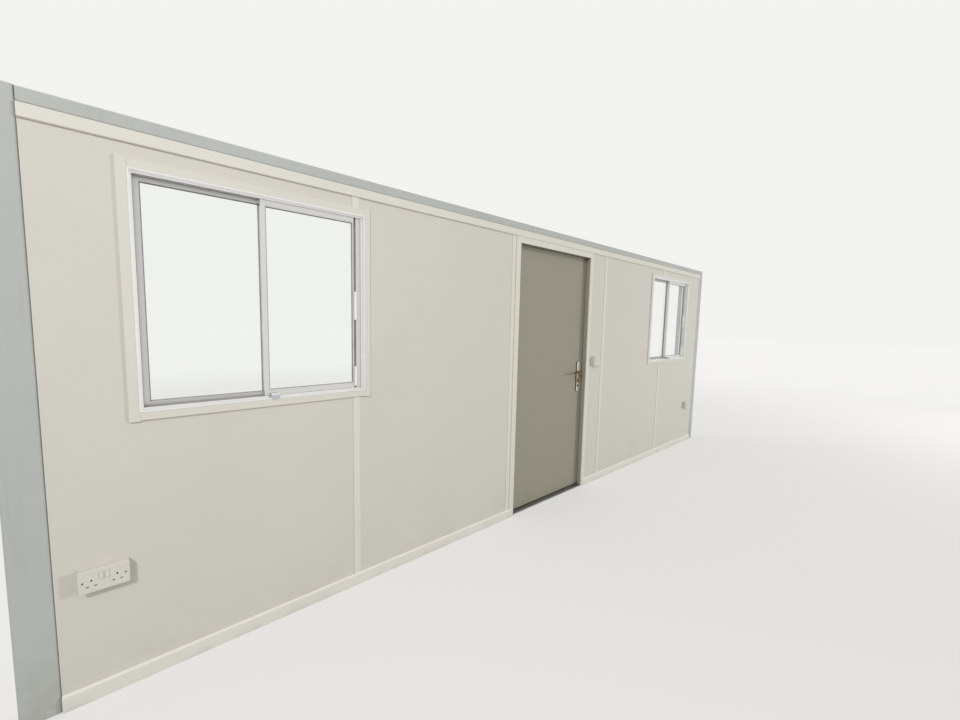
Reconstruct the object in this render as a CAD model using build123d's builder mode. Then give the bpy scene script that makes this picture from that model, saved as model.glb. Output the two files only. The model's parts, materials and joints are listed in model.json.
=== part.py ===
from build123d import *
import math
import os

os.makedirs("parts", exist_ok=True)

# Long front wall of a lined steel site cabin, with an outward opening door and two windows,
# each with a fixed light and a sliding sash. X runs along the wall, to the right as seen from
# inside. Y runs from the room to the outside. Z is up. The origin is on the underside of the
# sole plate, at its middle. Places along the wall are first given from the left inner corner
# of the room.

# Overall sizes
inner_length = 5838.0
post_size = 110.0
wall_depth = 110.0
ceiling_height = 2162.0
lining_above_ceiling = 3.0

# Steel members
post_wall = 4.0
post_corner_radius = 10.0
end_plate_thickness = 10.0
bolt_hole_diameter = 18.0
bolt_spacing = 60.0
sole_thickness = 8.0
head_rail_height = 50.0
head_rail_wall = 3.0

# Layers of the wall, from the room outwards
lining_thickness = 9.0
board_pitch = 1220.0
first_board_width = 1160.0
sheet_thickness = 1.5
rib_depth = 20.0
rib_base_width = 66.0
rib_crest_width = 36.0
rib_count = 30

# Trims on the lining
trim_thickness = 8.0
strip_width = 38.0
strip_thickness = 3.0
strip_edge_bevel = 1.0
skirting_height = 65.0
skirting_thickness = 12.0
skirting_bevel = 7.0
skirting_floor_gap = 2.0
skirting_from_doorway = 20.0
ceiling_trim_height = 48.0
ceiling_trim_bevel = 4.0

# Doorway and door
door_clear_left = 2426.0
door_clear_width = 908.0
door_head_trim_height = 44.0
door_frame_width = 60.0
door_frame_lip = 8.0
door_frame_outer_lip = 20.0
door_recess = 40.0
door_overlap = 12.0
door_gap = 5.0
door_leaf_thickness = 50.0
door_leaf_edge_bevel = 1.5
door_skin_thickness = 1.2
door_trim_width = 45.0
threshold_thickness = 4.0
threshold_nose = 14.0
door_foot_gap = 8.0

# Hinges
hinge_radius = 9.0
hinge_pin_radius = 5.0
hinge_pin_clearance = 0.3
hinge_standoff = 10.0
hinge_knuckle_length = 45.0
hinge_knuckle_gap = 0.3
hinge_plate_reach = 24.0
hinge_plate_thickness = 3.0
hinge_heights = (240.0, 1040.0, 1840.0)

# Lever handle and lock plate
lever_from_clear_edge = 62.0
lever_height = 1063.0
lock_plate_width = 46.0
lock_plate_height = 274.0
lock_plate_above_lever = 99.0
lock_plate_thickness = 9.0
lock_plate_edge_bevel = 2.5
lever_boss_radius = 13.0
lever_boss_height = 3.0
lever_standoff = 46.0
lever_length = 122.0
lever_radius = 9.0
lever_bend_radius = 16.0
lever_tip_bevel = 2.0
lever_clearance = 0.3
spindle_side = 8.0
spindle_hole_radius = 7.0
cylinder_below_lever = 72.0
cylinder_radius = 8.5
cylinder_slot_width = 10.0
cylinder_slot_drop = 20.0
cylinder_proud = 2.0
cylinder_clearance = 0.3

# Windows: the fixed light is on the left and outside, the sliding sash on the right and inside
window_left_inset = 735.0
window_right_inset = 810.0
window_head_drop = 133.0
flange_width = 942.0
flange_height = 926.0
flange_overlap = 4.0
flange_thickness = 2.0
flange_edge_bevel = 1.0
window_box_wall = 3.0
window_fit_gap = 2.0
sash_depth = 20.0
sash_gap = 1.0
sash_foot_rail = 35.0
sash_head_rail = 31.0
fixed_foot_rail = 26.0
fixed_head_rail = 22.0
meeting_stile = 22.0
fixed_jamb_stile = 27.0
sash_jamb_stile = 47.0
meeting_left_of_centre = 9.0
sash_side_gap = 2.0
sash_lift_gap = 4.0
bead_width = 5.0
bead_setback = 3.0
interlock_thickness = 0.9
interlock_gap = 0.6
interlock_overlap = 5.0
interlock_end_gap = 3.0
fin_height = 7.0
fin_thickness = 2.0
reveal_to_first_fin = 23.0
glass_thickness = 4.0
glass_pocket = 4.0
liner_wall = 3.0
outer_flange_width = 40.0
outer_flange_thickness = 2.0
window_trim_margin = 32.0
trim_horn = 4.0
trim_joint = 0.4
pull_height = 150.0
pull_width = 10.0
pull_depth = 13.0
pull_thickness = 2.5
pull_lip = 6.0
pull_end_bevel = 4.0
pull_below_centre = 9.0
pull_side_gap = 0.5
stile_lip = 1.5
stile_groove_depth = 4.0
stile_step_width = 22.5
stile_step_depth = 1.5
foot_catch_height = 104.0
foot_catch_above_sill = 18.0
sill_stop_length = 35.0
sill_stop_height = 17.0
sill_stop_depth = 19.0
sill_stop_lip = 2.0
sill_stop_drop = 6.0
sill_stop_from_centre = 21.0

# Switch and sockets
socket_width = 146.0
plate_height = 86.0
switch_width = 86.0
plate_depth = 8.0
plate_edge_bevel = 2.0
plate_corner_radius = 5.0
box_depth = 28.0
box_inset = 1.5
socket_left_inset = 136.0
socket_right_inset = 178.0
socket_centre_height = 490.0
switch_from_doorway = 131.0
switch_centre_height = 1160.0
rocker_width = 12.0
rocker_height = 24.0
rocker_proud = 3.0
rocker_head_proud = 1.0
socket_rocker_rise = 15.0
socket_rocker_offset = 8.5
rocker_gap = 0.7
rocker_seat_depth = 2.0
outlet_offset = 36.0
pin_spacing = 22.2
pin_drop = 18.5
earth_pin_rise = 4.0
earth_recess = (4.4, 8.4)
pin_recess = (7.2, 4.6)
recess_depth = 4.0

# Places that follow from the sizes
room_face = -wall_depth / 2
outer_face = wall_depth / 2
lining_back = room_face + lining_thickness
trough_face = outer_face - rib_depth
core_back = trough_face - sheet_thickness
rail_underside = ceiling_height + lining_above_ceiling
wall_height = rail_underside + head_rail_height
ceiling_trim_foot = ceiling_height - ceiling_trim_height
trim_face = room_face - trim_thickness
joint_count = math.ceil((inner_length - first_board_width) / board_pitch)
joints = [first_board_width + board_pitch * n for n in range(joint_count)]

door_clear_height = ceiling_trim_foot - door_head_trim_height
door_clear_right = door_clear_left + door_clear_width
door_frame_left = door_clear_left - door_frame_width
door_frame_right = door_clear_right + door_frame_width
leaf_face = room_face + door_recess
leaf_back = leaf_face + door_leaf_thickness
stop_face = leaf_face - door_gap
leaf_left = door_clear_left - door_overlap
leaf_right = door_clear_right + door_overlap
leaf_top = door_clear_height + door_overlap
threshold_top = sole_thickness + threshold_thickness
leaf_foot = threshold_top + door_foot_gap
hinge_x = leaf_left - door_gap / 2
hinge_y = leaf_back + hinge_standoff
lever_x = door_clear_right - lever_from_clear_edge

window_centres = {"left": window_left_inset, "right": inner_length - window_right_inset}
window_centre_height = ceiling_height - window_head_drop - flange_height / 2
flange_face = trim_face - flange_thickness
box_width = flange_width - 2 * flange_overlap
box_height = flange_height - 2 * flange_overlap
opening_width = box_width + 2 * window_fit_gap
opening_height = box_height + 2 * window_fit_gap
liner_width = opening_width + 2 * liner_wall
liner_height = opening_height + 2 * liner_wall
window_bottom = window_centre_height - flange_height / 2
window_top = window_centre_height + flange_height / 2


def along(distance):
    """X of a place given by its distance from the left inner corner of the room."""
    return distance - inner_length / 2


def upright(y):
    """Plane of an elevation at this Y. What is extruded from it grows towards the room."""
    return Plane.XZ.offset(-y)


def block(x_range, y_range, z_range, mode=Mode.ADD):
    """Plain block between two corners, X given from the left inner corner."""
    middle = [(low + high) / 2 for low, high in (x_range, y_range, z_range)]
    size = [high - low for low, high in (x_range, y_range, z_range)]
    with Locations((along(middle[0]), middle[1], middle[2])):
        Box(*size, mode=mode)


def ring(y_range, centre_x, centre_z, outer, inner):
    """Rectangular ring that stands in the wall, between two Y planes."""
    with BuildSketch(upright(y_range[1])) as outline:
        with Locations((along(centre_x), centre_z)):
            Rectangle(*outer)
            Rectangle(*inner, mode=Mode.SUBTRACT)
    extrude(outline.sketch, amount=y_range[1] - y_range[0])


def cut_windows(width, height, y_range):
    """Cut both window openings through the current piece."""
    for centre in window_centres.values():
        with BuildSketch(upright(y_range[1] + 1)) as hole:
            with Locations((along(centre), window_centre_height)):
                Rectangle(width, height)
        extrude(hole.sketch, amount=y_range[1] - y_range[0] + 2, mode=Mode.SUBTRACT)


def finish(piece, node):
    """Label a finished piece and write it."""
    piece.part.label = node
    export_step(piece.part, f"parts/{node}.step")


# Sole plate: it runs under the doorway from post to post
with BuildPart() as sole_plate:
    block((0, inner_length), (room_face, outer_face), (0, sole_thickness))
finish(sole_plate, "sole_plate")

# Head rail: a hollow section between the posts
with BuildPart() as head_rail:
    with BuildSketch(Plane.YZ.offset(along(0))):
        with Locations((0, wall_height - head_rail_height / 2)):
            RectangleRounded(wall_depth, head_rail_height, 2 * head_rail_wall)
            RectangleRounded(
                wall_depth - 2 * head_rail_wall, head_rail_height - 2 * head_rail_wall, head_rail_wall,
                mode=Mode.SUBTRACT)
    extrude(amount=inner_length)
finish(head_rail, "head_rail")

# Corner posts: square tubes closed by an end plate with four bolt holes at foot and head
for side, post_x in (("left", -post_size / 2), ("right", inner_length + post_size / 2)):
    with BuildPart() as post:
        with BuildSketch():
            with Locations((along(post_x), 0)):
                RectangleRounded(post_size, wall_depth, post_corner_radius)
                Rectangle(post_size - 2 * post_wall, wall_depth - 2 * post_wall, mode=Mode.SUBTRACT)
        extrude(amount=wall_height)
        for plate_z in (0, wall_height - end_plate_thickness):
            with BuildSketch(Plane.XY.offset(plate_z)):
                with Locations((along(post_x), 0)):
                    RectangleRounded(post_size, wall_depth, post_corner_radius)
                    with GridLocations(bolt_spacing, bolt_spacing, 2, 2):
                        Circle(bolt_hole_diameter / 2, mode=Mode.SUBTRACT)
            extrude(amount=end_plate_thickness)
    finish(post, f"{side}_post")

# Insulated core each side of the doorway, with the window openings cut through it
for side, core_range in (("left", (0, door_frame_left)), ("right", (door_frame_right, inner_length))):
    with BuildPart() as core:
        block(core_range, (lining_back, core_back), (sole_thickness, rail_underside))
        cut_windows(liner_width, liner_height, (lining_back, core_back))
    finish(core, f"core_{side}")


def sheet_outline(start, end):
    """Plan outline of the ribbed sheet between two places, its ribs centred on a fixed pitch."""
    pitch = inner_length / rib_count
    half_base = rib_base_width / 2
    half_crest = rib_crest_width / 2
    slope = math.atan2(rib_depth, half_base - half_crest)
    mitre = sheet_thickness * math.tan(slope / 2)
    outside = [(start, trough_face)]
    inside = [(start, trough_face - sheet_thickness)]
    for rib in range(rib_count):
        middle = (rib + 0.5) * pitch
        if middle - half_base < start or middle + half_base > end:
            continue
        outside += [(middle - half_base, trough_face), (middle - half_crest, outer_face)]
        outside += [(middle + half_crest, outer_face), (middle + half_base, trough_face)]
        inside += [
            (middle - half_base + mitre, trough_face - sheet_thickness),
            (middle - half_crest + mitre, outer_face - sheet_thickness),
            (middle + half_crest - mitre, outer_face - sheet_thickness),
            (middle + half_base - mitre, trough_face - sheet_thickness)]
    outside.append((end, trough_face))
    inside.append((end, trough_face - sheet_thickness))
    return [(along(x), y) for x, y in outside + inside[::-1]]


# Ribbed outer sheets, pressed from plate, with upright ribs
for side, sheet_range in (("left", (0, door_frame_left)), ("right", (door_frame_right, inner_length))):
    with BuildPart() as sheet:
        with BuildSketch(Plane.XY.offset(sole_thickness)):
            with BuildLine():
                Polyline(*sheet_outline(*sheet_range), close=True)
            make_face()
        extrude(amount=rail_underside - sole_thickness)
        cut_windows(liner_width, liner_height, (core_back, outer_face))
    finish(sheet, f"outer_sheet_{side}")

# Lining boards, cut round the windows and the doorway
board_edges = [0.0] + joints + [inner_length]
for number in range(joint_count + 1):
    with BuildPart() as board:
        board_range = (board_edges[number], board_edges[number + 1])
        block(board_range, (room_face, lining_back), (sole_thickness, rail_underside))
        cut_windows(liner_width, liner_height, (room_face, lining_back))
        block(
            (door_clear_left - door_frame_lip, door_clear_right + door_frame_lip),
            (room_face - 1, lining_back + 1), (0, door_clear_height + door_frame_lip), mode=Mode.SUBTRACT)
    finish(board, f"lining_board_{number + 1}")

# Cover strips over the board joints. A joint at the doorway has its strip beside the door
# trim, and a strip that meets a window stops at the window's trim.
door_trim_left = door_clear_left - door_trim_width
door_trim_right = door_clear_right + door_trim_width
window_trim_foot = window_bottom - window_trim_margin
window_trim_head = window_top + window_trim_margin


def strip_place(joint):
    """Middle of the strip over a joint."""
    if door_trim_left - strip_width < joint < door_clear_left:
        return door_trim_left - strip_width / 2
    return joint


def strip_runs(middle):
    """Foot and head of each length of the strip at this place along the wall."""
    for centre in window_centres.values():
        if abs(middle - centre) < flange_width / 2 + window_trim_margin:
            return (skirting_height, window_trim_foot), (window_trim_head, ceiling_trim_foot)
    return ((skirting_height, ceiling_trim_foot),)


with BuildPart() as cover_strips:
    for strip_x in [strip_place(joint) for joint in joints]:
        for foot, head in strip_runs(strip_x):
            with BuildSketch(Plane.XY.offset(foot)):
                with Locations((along(strip_x), room_face - strip_thickness / 2)):
                    Rectangle(strip_width, strip_thickness)
            extrude(amount=head - foot)
    edges = cover_strips.edges().filter_by(Axis.Z).group_by(Axis.Y)[0]
    chamfer(edges, length=strip_edge_bevel)
finish(cover_strips, "cover_strips")

# Skirtings, bevelled along the top. They run in under the feet of the door trims.
skirting_left_end = door_clear_left - skirting_from_doorway
skirting_right_start = door_clear_right + skirting_from_doorway
skirtings = (("left", 0, skirting_left_end), ("right", skirting_right_start, inner_length))
for side, start, end in skirtings:
    with BuildPart() as skirting:
        block(
            (start, end), (room_face - skirting_thickness, room_face),
            (skirting_floor_gap, skirting_height))
        top_edge = skirting.edges().filter_by(Axis.X).group_by(Axis.Z)[-1].sort_by(Axis.Y)[0]
        chamfer(top_edge, length=skirting_bevel)
    finish(skirting, f"skirting_{side}")

# Trim under the ceiling
with BuildPart() as ceiling_trim:
    block((0, inner_length), (trim_face, room_face), (ceiling_trim_foot, ceiling_height))
    foot_edge = ceiling_trim.edges().filter_by(Axis.X).group_by(Axis.Z)[0].sort_by(Axis.Y)[0]
    chamfer(foot_edge, length=ceiling_trim_bevel)
finish(ceiling_trim, "ceiling_trim")

# Door frame: folded section with a lip at the lining, a stop, a rebate for the leaf and an
# upstand for the ribbed sheet. The head has the same section up to the head rail.
rebate_side = door_overlap + door_gap
jamb_outline = (
    (0, lining_back), (door_frame_width, lining_back), (door_frame_width, outer_face),
    (door_frame_width - door_frame_outer_lip, outer_face),
    (door_frame_width - door_frame_outer_lip, leaf_back), (rebate_side, leaf_back),
    (rebate_side, stop_face), (0, stop_face))
head_depth = rail_underside - door_clear_height
with BuildPart() as door_frame:
    for edge_x, outwards in ((door_clear_left, -1), (door_clear_right, 1)):
        with BuildSketch(Plane.XY.offset(sole_thickness)):
            with BuildLine():
                Polyline(*[(along(edge_x + outwards * u), y) for u, y in jamb_outline], close=True)
            make_face()
        extrude(amount=rail_underside - sole_thickness)
    with BuildSketch(Plane.YZ.offset(along(door_frame_left))):
        with BuildLine():
            head_outline = [
                (y, door_clear_height + (head_depth if u == door_frame_width else u))
                for u, y in jamb_outline]
            Polyline(*head_outline, close=True)
        make_face()
    extrude(amount=door_frame_right - door_frame_left)
    block(
        (door_clear_left - door_frame_lip, door_clear_right + door_frame_lip),
        (room_face, lining_back), (sole_thickness, door_clear_height + door_frame_lip))
    block(
        (door_clear_left, door_clear_right), (room_face, lining_back),
        (sole_thickness, door_clear_height), mode=Mode.SUBTRACT)
finish(door_frame, "door_frame")

# Door trims on the lining, notched at the foot over the ends of the skirtings
with BuildPart() as door_trim:
    with BuildSketch(upright(room_face)):
        with BuildLine():
            Polyline(
                (along(skirting_left_end), skirting_floor_gap),
                (along(skirting_left_end), skirting_height),
                (along(door_trim_left), skirting_height),
                (along(door_trim_left), ceiling_trim_foot),
                (along(door_trim_right), ceiling_trim_foot),
                (along(door_trim_right), skirting_height),
                (along(skirting_right_start), skirting_height),
                (along(skirting_right_start), skirting_floor_gap),
                (along(door_clear_right), skirting_floor_gap),
                (along(door_clear_right), door_clear_height),
                (along(door_clear_left), door_clear_height),
                (along(door_clear_left), skirting_floor_gap), close=True)
        make_face()
    extrude(amount=trim_thickness)
finish(door_trim, "door_trim")

# Threshold plate with a rounded nose on the outside
with BuildPart() as threshold:
    block(
        (door_clear_left, door_clear_right), (room_face, outer_face + threshold_nose),
        (sole_thickness, threshold_top))
    nose = threshold.edges().filter_by(Axis.X).group_by(Axis.Y)[-1].sort_by(Axis.Z)[-1]
    fillet(nose, radius=threshold_thickness / 2)
finish(threshold, "threshold")


def hinge_half(height, outwards, with_pin):
    """Plate, web and knuckle of one hinge half: outwards is -1 on the frame and 1 on the leaf."""
    foot = height - hinge_knuckle_length if with_pin else height + hinge_knuckle_gap
    with BuildSketch(Plane.XY.offset(foot)) as section:
        with Locations((along(hinge_x), hinge_y)):
            Circle(hinge_radius)
        plate_start = along(hinge_x)
        plate_end = along(hinge_x) + outwards * hinge_plate_reach
        with Locations(((plate_start + plate_end) / 2, leaf_back + hinge_plate_thickness / 2)):
            Rectangle(abs(plate_end - plate_start), hinge_plate_thickness)
        with Locations((plate_start + outwards * hinge_radius / 2, (leaf_back + hinge_y) / 2)):
            Rectangle(hinge_radius, hinge_y - leaf_back)
        if not with_pin:
            with Locations((along(hinge_x), hinge_y)):
                Circle(hinge_pin_radius + hinge_pin_clearance, mode=Mode.SUBTRACT)
    extrude(section.sketch, amount=hinge_knuckle_length)
    if with_pin:
        with BuildSketch(Plane.XY.offset(foot)) as pin:
            with Locations((along(hinge_x), hinge_y)):
                Circle(hinge_pin_radius)
        extrude(pin.sketch, amount=2 * hinge_knuckle_length + hinge_knuckle_gap)


with BuildPart() as frame_hinges:
    for height in hinge_heights:
        hinge_half(height, -1, True)
finish(frame_hinges, "frame_hinges")

with BuildPart() as leaf_hinges:
    for height in hinge_heights:
        hinge_half(height, 1, False)
finish(leaf_hinges, "leaf_hinges")

# Door leaf: flush steel skins folded round an insulating core, with a hole for the spindle
# and one for the cylinder
cylinder_height = lever_height - cylinder_below_lever
skin_range = (
    (leaf_left + door_skin_thickness, leaf_right - door_skin_thickness),
    (leaf_face + door_skin_thickness, leaf_back - door_skin_thickness),
    (leaf_foot + door_skin_thickness, leaf_top - door_skin_thickness))
lock_hole_reach = 2 * lock_plate_thickness
with BuildPart() as lock_holes:
    with BuildSketch(upright(leaf_back + lock_hole_reach)):
        with Locations((along(lever_x), lever_height)):
            Circle(spindle_hole_radius)
        with Locations((along(lever_x), cylinder_height)):
            Circle(cylinder_radius)
        with Locations((along(lever_x), cylinder_height - cylinder_slot_drop / 2)):
            Rectangle(cylinder_slot_width, cylinder_slot_drop)
    extrude(amount=door_leaf_thickness + 2 * lock_hole_reach)

with BuildPart() as door_leaf:
    block((leaf_left, leaf_right), (leaf_face, leaf_back), (leaf_foot, leaf_top))
    chamfer(door_leaf.edges().filter_by(Axis.Z), length=door_leaf_edge_bevel)
    block(*skin_range, mode=Mode.SUBTRACT)
    add(lock_holes.part, mode=Mode.SUBTRACT)
finish(door_leaf, "door_leaf")

with BuildPart() as door_core:
    block(*skin_range)
    add(lock_holes.part, mode=Mode.SUBTRACT)
finish(door_core, "door_core")

# Lock plates on both faces of the leaf, with a bevelled rim and a boss round the spindle
plate_centre = lever_height + lock_plate_above_lever - lock_plate_height / 2
plate_face_in = leaf_face - lock_plate_thickness
plate_face_out = leaf_back + lock_plate_thickness
boss_reach = lock_plate_thickness + lever_boss_height
for side, plate_back, boss_back in (
        ("inner", leaf_face, leaf_face), ("outer", plate_face_out, leaf_back + boss_reach)):
    with BuildPart() as lock_plate:
        with BuildSketch(upright(plate_back)):
            with Locations((along(lever_x), plate_centre)):
                SlotOverall(lock_plate_height, lock_plate_width, rotation=90)
        extrude(amount=lock_plate_thickness)
        faces = lock_plate.faces().sort_by(Axis.Y)
        front = faces[0] if side == "inner" else faces[-1]
        chamfer(front.outer_wire().edges(), length=lock_plate_edge_bevel)
        with BuildSketch(upright(boss_back)):
            with Locations((along(lever_x), lever_height)):
                Circle(lever_boss_radius)
        extrude(amount=boss_reach)
        add(lock_holes.part, mode=Mode.SUBTRACT)
    finish(lock_plate, f"lock_plate_{side}")

# Lock cylinder through the leaf and both plates
with BuildPart() as lock_cylinder:
    cylinder_reach = lock_plate_thickness + cylinder_proud
    with BuildSketch(upright(leaf_back + cylinder_reach)):
        with Locations((along(lever_x), cylinder_height)):
            Circle(cylinder_radius - cylinder_clearance)
        with Locations((along(lever_x), cylinder_height - cylinder_slot_drop / 2)):
            Rectangle(
                cylinder_slot_width - 2 * cylinder_clearance,
                cylinder_slot_drop - 2 * cylinder_clearance)
    extrude(amount=door_leaf_thickness + 2 * cylinder_reach)
finish(lock_cylinder, "lock_cylinder")

# Lever handle: inner and outer grips on one square spindle
boss_clear = lever_boss_height + lever_clearance
with BuildPart() as lever_handle:
    with BuildSketch(upright(plate_face_out + boss_clear)):
        with Locations((along(lever_x), lever_height)):
            Rectangle(spindle_side, spindle_side)
    extrude(amount=plate_face_out - plate_face_in + 2 * boss_clear)
    for plate_face, outwards in ((plate_face_in, -1), (plate_face_out, 1)):
        start_y = plate_face + outwards * boss_clear
        end_y = plate_face + outwards * lever_standoff
        bend_y = end_y - outwards * lever_bend_radius
        bend_x = lever_x - lever_bend_radius
        with BuildSketch(upright(max(start_y, bend_y))):
            with Locations((along(lever_x), lever_height)):
                Circle(lever_radius)
        extrude(amount=abs(bend_y - start_y))
        with BuildSketch(upright(bend_y)):
            with Locations((along(lever_x), lever_height)):
                Circle(lever_radius)
        bend_axis = Axis((along(bend_x), bend_y, lever_height), (0, 0, outwards))
        revolve(axis=bend_axis, revolution_arc=90)
        with BuildSketch(Plane.YZ.offset(along(lever_x - lever_length))):
            with Locations((end_y, lever_height)):
                Circle(lever_radius)
        extrude(amount=lever_length - lever_bend_radius)
    tips = lever_handle.faces().sort_by(Axis.X)[:2]
    chamfer([edge for tip in tips for edge in tip.edges()], length=lever_tip_bevel)
finish(lever_handle, "lever_handle")

# Windows. Each has a steel liner through the wall, an aluminium frame with two channels, a
# fixed light in the outer one, a sliding sash in the inner one, their glass, the sash's pull
# and foot catch, a stop on the sill and flat trims on the lining.
inner_channel = flange_face + flange_thickness + reveal_to_first_fin + fin_thickness
outer_channel = inner_channel + sash_depth + 2 * sash_gap + fin_thickness
frame_back = outer_channel + sash_depth + 2 * sash_gap + fin_thickness
clear_box = (box_width - 2 * window_box_wall, box_height - 2 * window_box_wall)
fin_inner = (clear_box[0] - 2 * fin_height, clear_box[1] - 2 * fin_height)
sill_height = window_centre_height - clear_box[1] / 2
sash_height = clear_box[1] - sash_lift_gap
sash_reach = clear_box[0] / 2 - sash_side_gap
pull_foot = window_centre_height - pull_below_centre - pull_height / 2
groove_width = pull_width + 2 * pull_side_gap
meeting_left = -meeting_left_of_centre - meeting_stile / 2
meeting_right = -meeting_left_of_centre + meeting_stile / 2
sash_spacing = 2 * sash_gap + fin_thickness
interlock_reach = sash_spacing - interlock_gap
interlock_length = (meeting_stile + interlock_overlap) / 2
interlock_run = (
    sill_height + fin_height + interlock_end_gap,
    sill_height + clear_box[1] - fin_height - interlock_end_gap)

# Each light: its ends from the window's middle, its stiles from left to right, its rails from
# foot to head, its channel
lights = {
    "fixed_light": (
        (-sash_reach, meeting_right), (fixed_jamb_stile, meeting_stile),
        (fixed_foot_rail, fixed_head_rail), outer_channel),
    "sash": (
        (meeting_left, sash_reach), (meeting_stile, sash_jamb_stile),
        (sash_foot_rail, sash_head_rail), inner_channel)}
sash_face = inner_channel + sash_gap
stile_face_left = sash_reach - sash_jamb_stile + bead_width
groove_left = stile_face_left + stile_lip


def light_slab(y_range, centre, light, growth, mode=Mode.ADD):
    """Slab as large as the glazed part of a light, grown by the same amount on every edge."""
    ends, stiles, rails, _ = lights[light]
    block(
        (centre + ends[0] + stiles[0] - growth, centre + ends[1] - stiles[1] + growth), y_range,
        (sill_height + rails[0] - growth, sill_height + sash_height - rails[1] + growth), mode)


def glass_range(light):
    """Y range of a light's pane, in the middle of the light's depth."""
    start = lights[light][3] + sash_gap + (sash_depth - glass_thickness) / 2
    return start, start + glass_thickness


def interlock(centre, light):
    """Hooked fin down a meeting stile, which nests in the hook of the other one."""
    ends, _, _, channel = lights[light]
    if light == "fixed_light":
        root = channel + sash_gap
        tip = root - interlock_reach
        end_x = centre + ends[1]
        inwards = -1
    else:
        root = channel + sash_gap + sash_depth
        tip = root + interlock_reach
        end_x = centre + ends[0]
        inwards = 1
    outwards = math.copysign(interlock_thickness, root - tip)
    block(sorted((end_x, end_x + inwards * interlock_thickness)), sorted((root, tip)), interlock_run)
    block(
        sorted((end_x, end_x + inwards * interlock_length)), sorted((tip, tip + outwards)), interlock_run)


def stile_relief(centre):
    """Groove and shallow step down the sash's outer stile."""
    for reach, depth in ((groove_width, stile_groove_depth), (stile_step_width, stile_step_depth)):
        block(
            (centre + groove_left, centre + groove_left + reach), (sash_face, sash_face + depth),
            (sill_height, sill_height + sash_height), Mode.SUBTRACT)


def pull(pull_left, foot, height):
    """Pull that stands in the groove: a C section open to the right, bevelled at both ends."""
    face = sash_face + stile_groove_depth
    tip = sash_face - pull_depth
    with BuildPart(mode=Mode.PRIVATE) as grip:
        with BuildSketch(Plane.XY.offset(foot)):
            with BuildLine():
                Polyline(
                    (along(pull_left), face), (along(pull_left + pull_width), face),
                    (along(pull_left + pull_width), face - pull_thickness),
                    (along(pull_left + pull_thickness), face - pull_thickness),
                    (along(pull_left + pull_thickness), tip + pull_thickness),
                    (along(pull_left + pull_lip), tip + pull_thickness),
                    (along(pull_left + pull_lip), tip), (along(pull_left), tip), close=True)
            make_face()
        extrude(amount=height)
        chamfer(grip.edges().filter_by(Axis.X).group_by(Axis.Y)[0], length=pull_end_bevel)
    return grip.part


for side, centre in window_centres.items():
    with BuildPart() as window_liner:
        ring(
            (lining_back, outer_face), centre, window_centre_height, (liner_width, liner_height),
            (opening_width, opening_height))
        ring(
            (outer_face, outer_face + outer_flange_thickness), centre, window_centre_height,
            (liner_width + 2 * outer_flange_width, liner_height + 2 * outer_flange_width),
            (opening_width, opening_height))
    finish(window_liner, f"window_{side}_liner")

    with BuildPart() as window_trim:
        upright_width = (flange_width - opening_width) / 2 + window_trim_margin
        for outwards in (-1, 1):
            inner_edge = centre + outwards * opening_width / 2
            block(
                sorted((inner_edge, inner_edge + outwards * upright_width)), (trim_face, room_face),
                (window_trim_foot - trim_horn, window_trim_head + trim_horn))
        for z_range in (
                (window_trim_foot, window_centre_height - opening_height / 2),
                (window_centre_height + opening_height / 2, window_trim_head)):
            block(
                (centre - opening_width / 2 + trim_joint, centre + opening_width / 2 - trim_joint),
                (trim_face, room_face), z_range)
    finish(window_trim, f"window_{side}_trim")

    with BuildPart() as window_frame:
        ring(
            (flange_face, trim_face), centre, window_centre_height,
            (flange_width, flange_height), clear_box)
        ring(
            (trim_face, frame_back), centre, window_centre_height, (box_width, box_height), clear_box)
        for fin_end in (inner_channel, outer_channel, frame_back):
            ring(
                (fin_end - fin_thickness, fin_end), centre, window_centre_height,
                (box_width, box_height), fin_inner)
        flange_front = window_frame.faces().sort_by(Axis.Y)[0]
        chamfer(flange_front.outer_wire().edges(), length=flange_edge_bevel)
    finish(window_frame, f"window_{side}_frame")

    for light, (ends, stiles, rails, channel) in lights.items():
        light_range = (channel + sash_gap, channel + sash_gap + sash_depth)
        bead_range = (light_range[0] + bead_setback, light_range[1] - bead_setback)
        with BuildPart() as light_frame:
            block(
                (centre + ends[0], centre + ends[1]), light_range,
                (sill_height, sill_height + sash_height))
            light_slab(light_range, centre, light, bead_width, Mode.SUBTRACT)
            light_slab(bead_range, centre, light, bead_width)
            light_slab(bead_range, centre, light, 0, Mode.SUBTRACT)
            light_slab(glass_range(light), centre, light, glass_pocket, Mode.SUBTRACT)
            interlock(centre, light)
            if light == "sash":
                stile_relief(centre)
        finish(light_frame, f"window_{side}_{light}")

    with BuildPart() as glass:
        for light in lights:
            light_slab(glass_range(light), centre, light, glass_pocket)
    finish(glass, f"window_{side}_glass")

    with BuildPart() as catch:
        pull_left = centre + groove_left + pull_side_gap
        add(pull(pull_left, pull_foot, pull_height))
        add(pull(pull_left, sill_height + foot_catch_above_sill, foot_catch_height))
        stop_middle = centre + sill_stop_from_centre
        stop_range = (stop_middle - sill_stop_length / 2, stop_middle + sill_stop_length / 2)
        block(
            stop_range, (flange_face - sill_stop_lip, trim_face + sill_stop_depth),
            (sill_height, sill_height + sill_stop_height))
        block(
            stop_range, (flange_face - sill_stop_lip, flange_face),
            (sill_height - sill_stop_drop, sill_height))
    finish(catch, f"window_{side}_catch")

plate_face = room_face - box_depth - plate_depth


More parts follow.
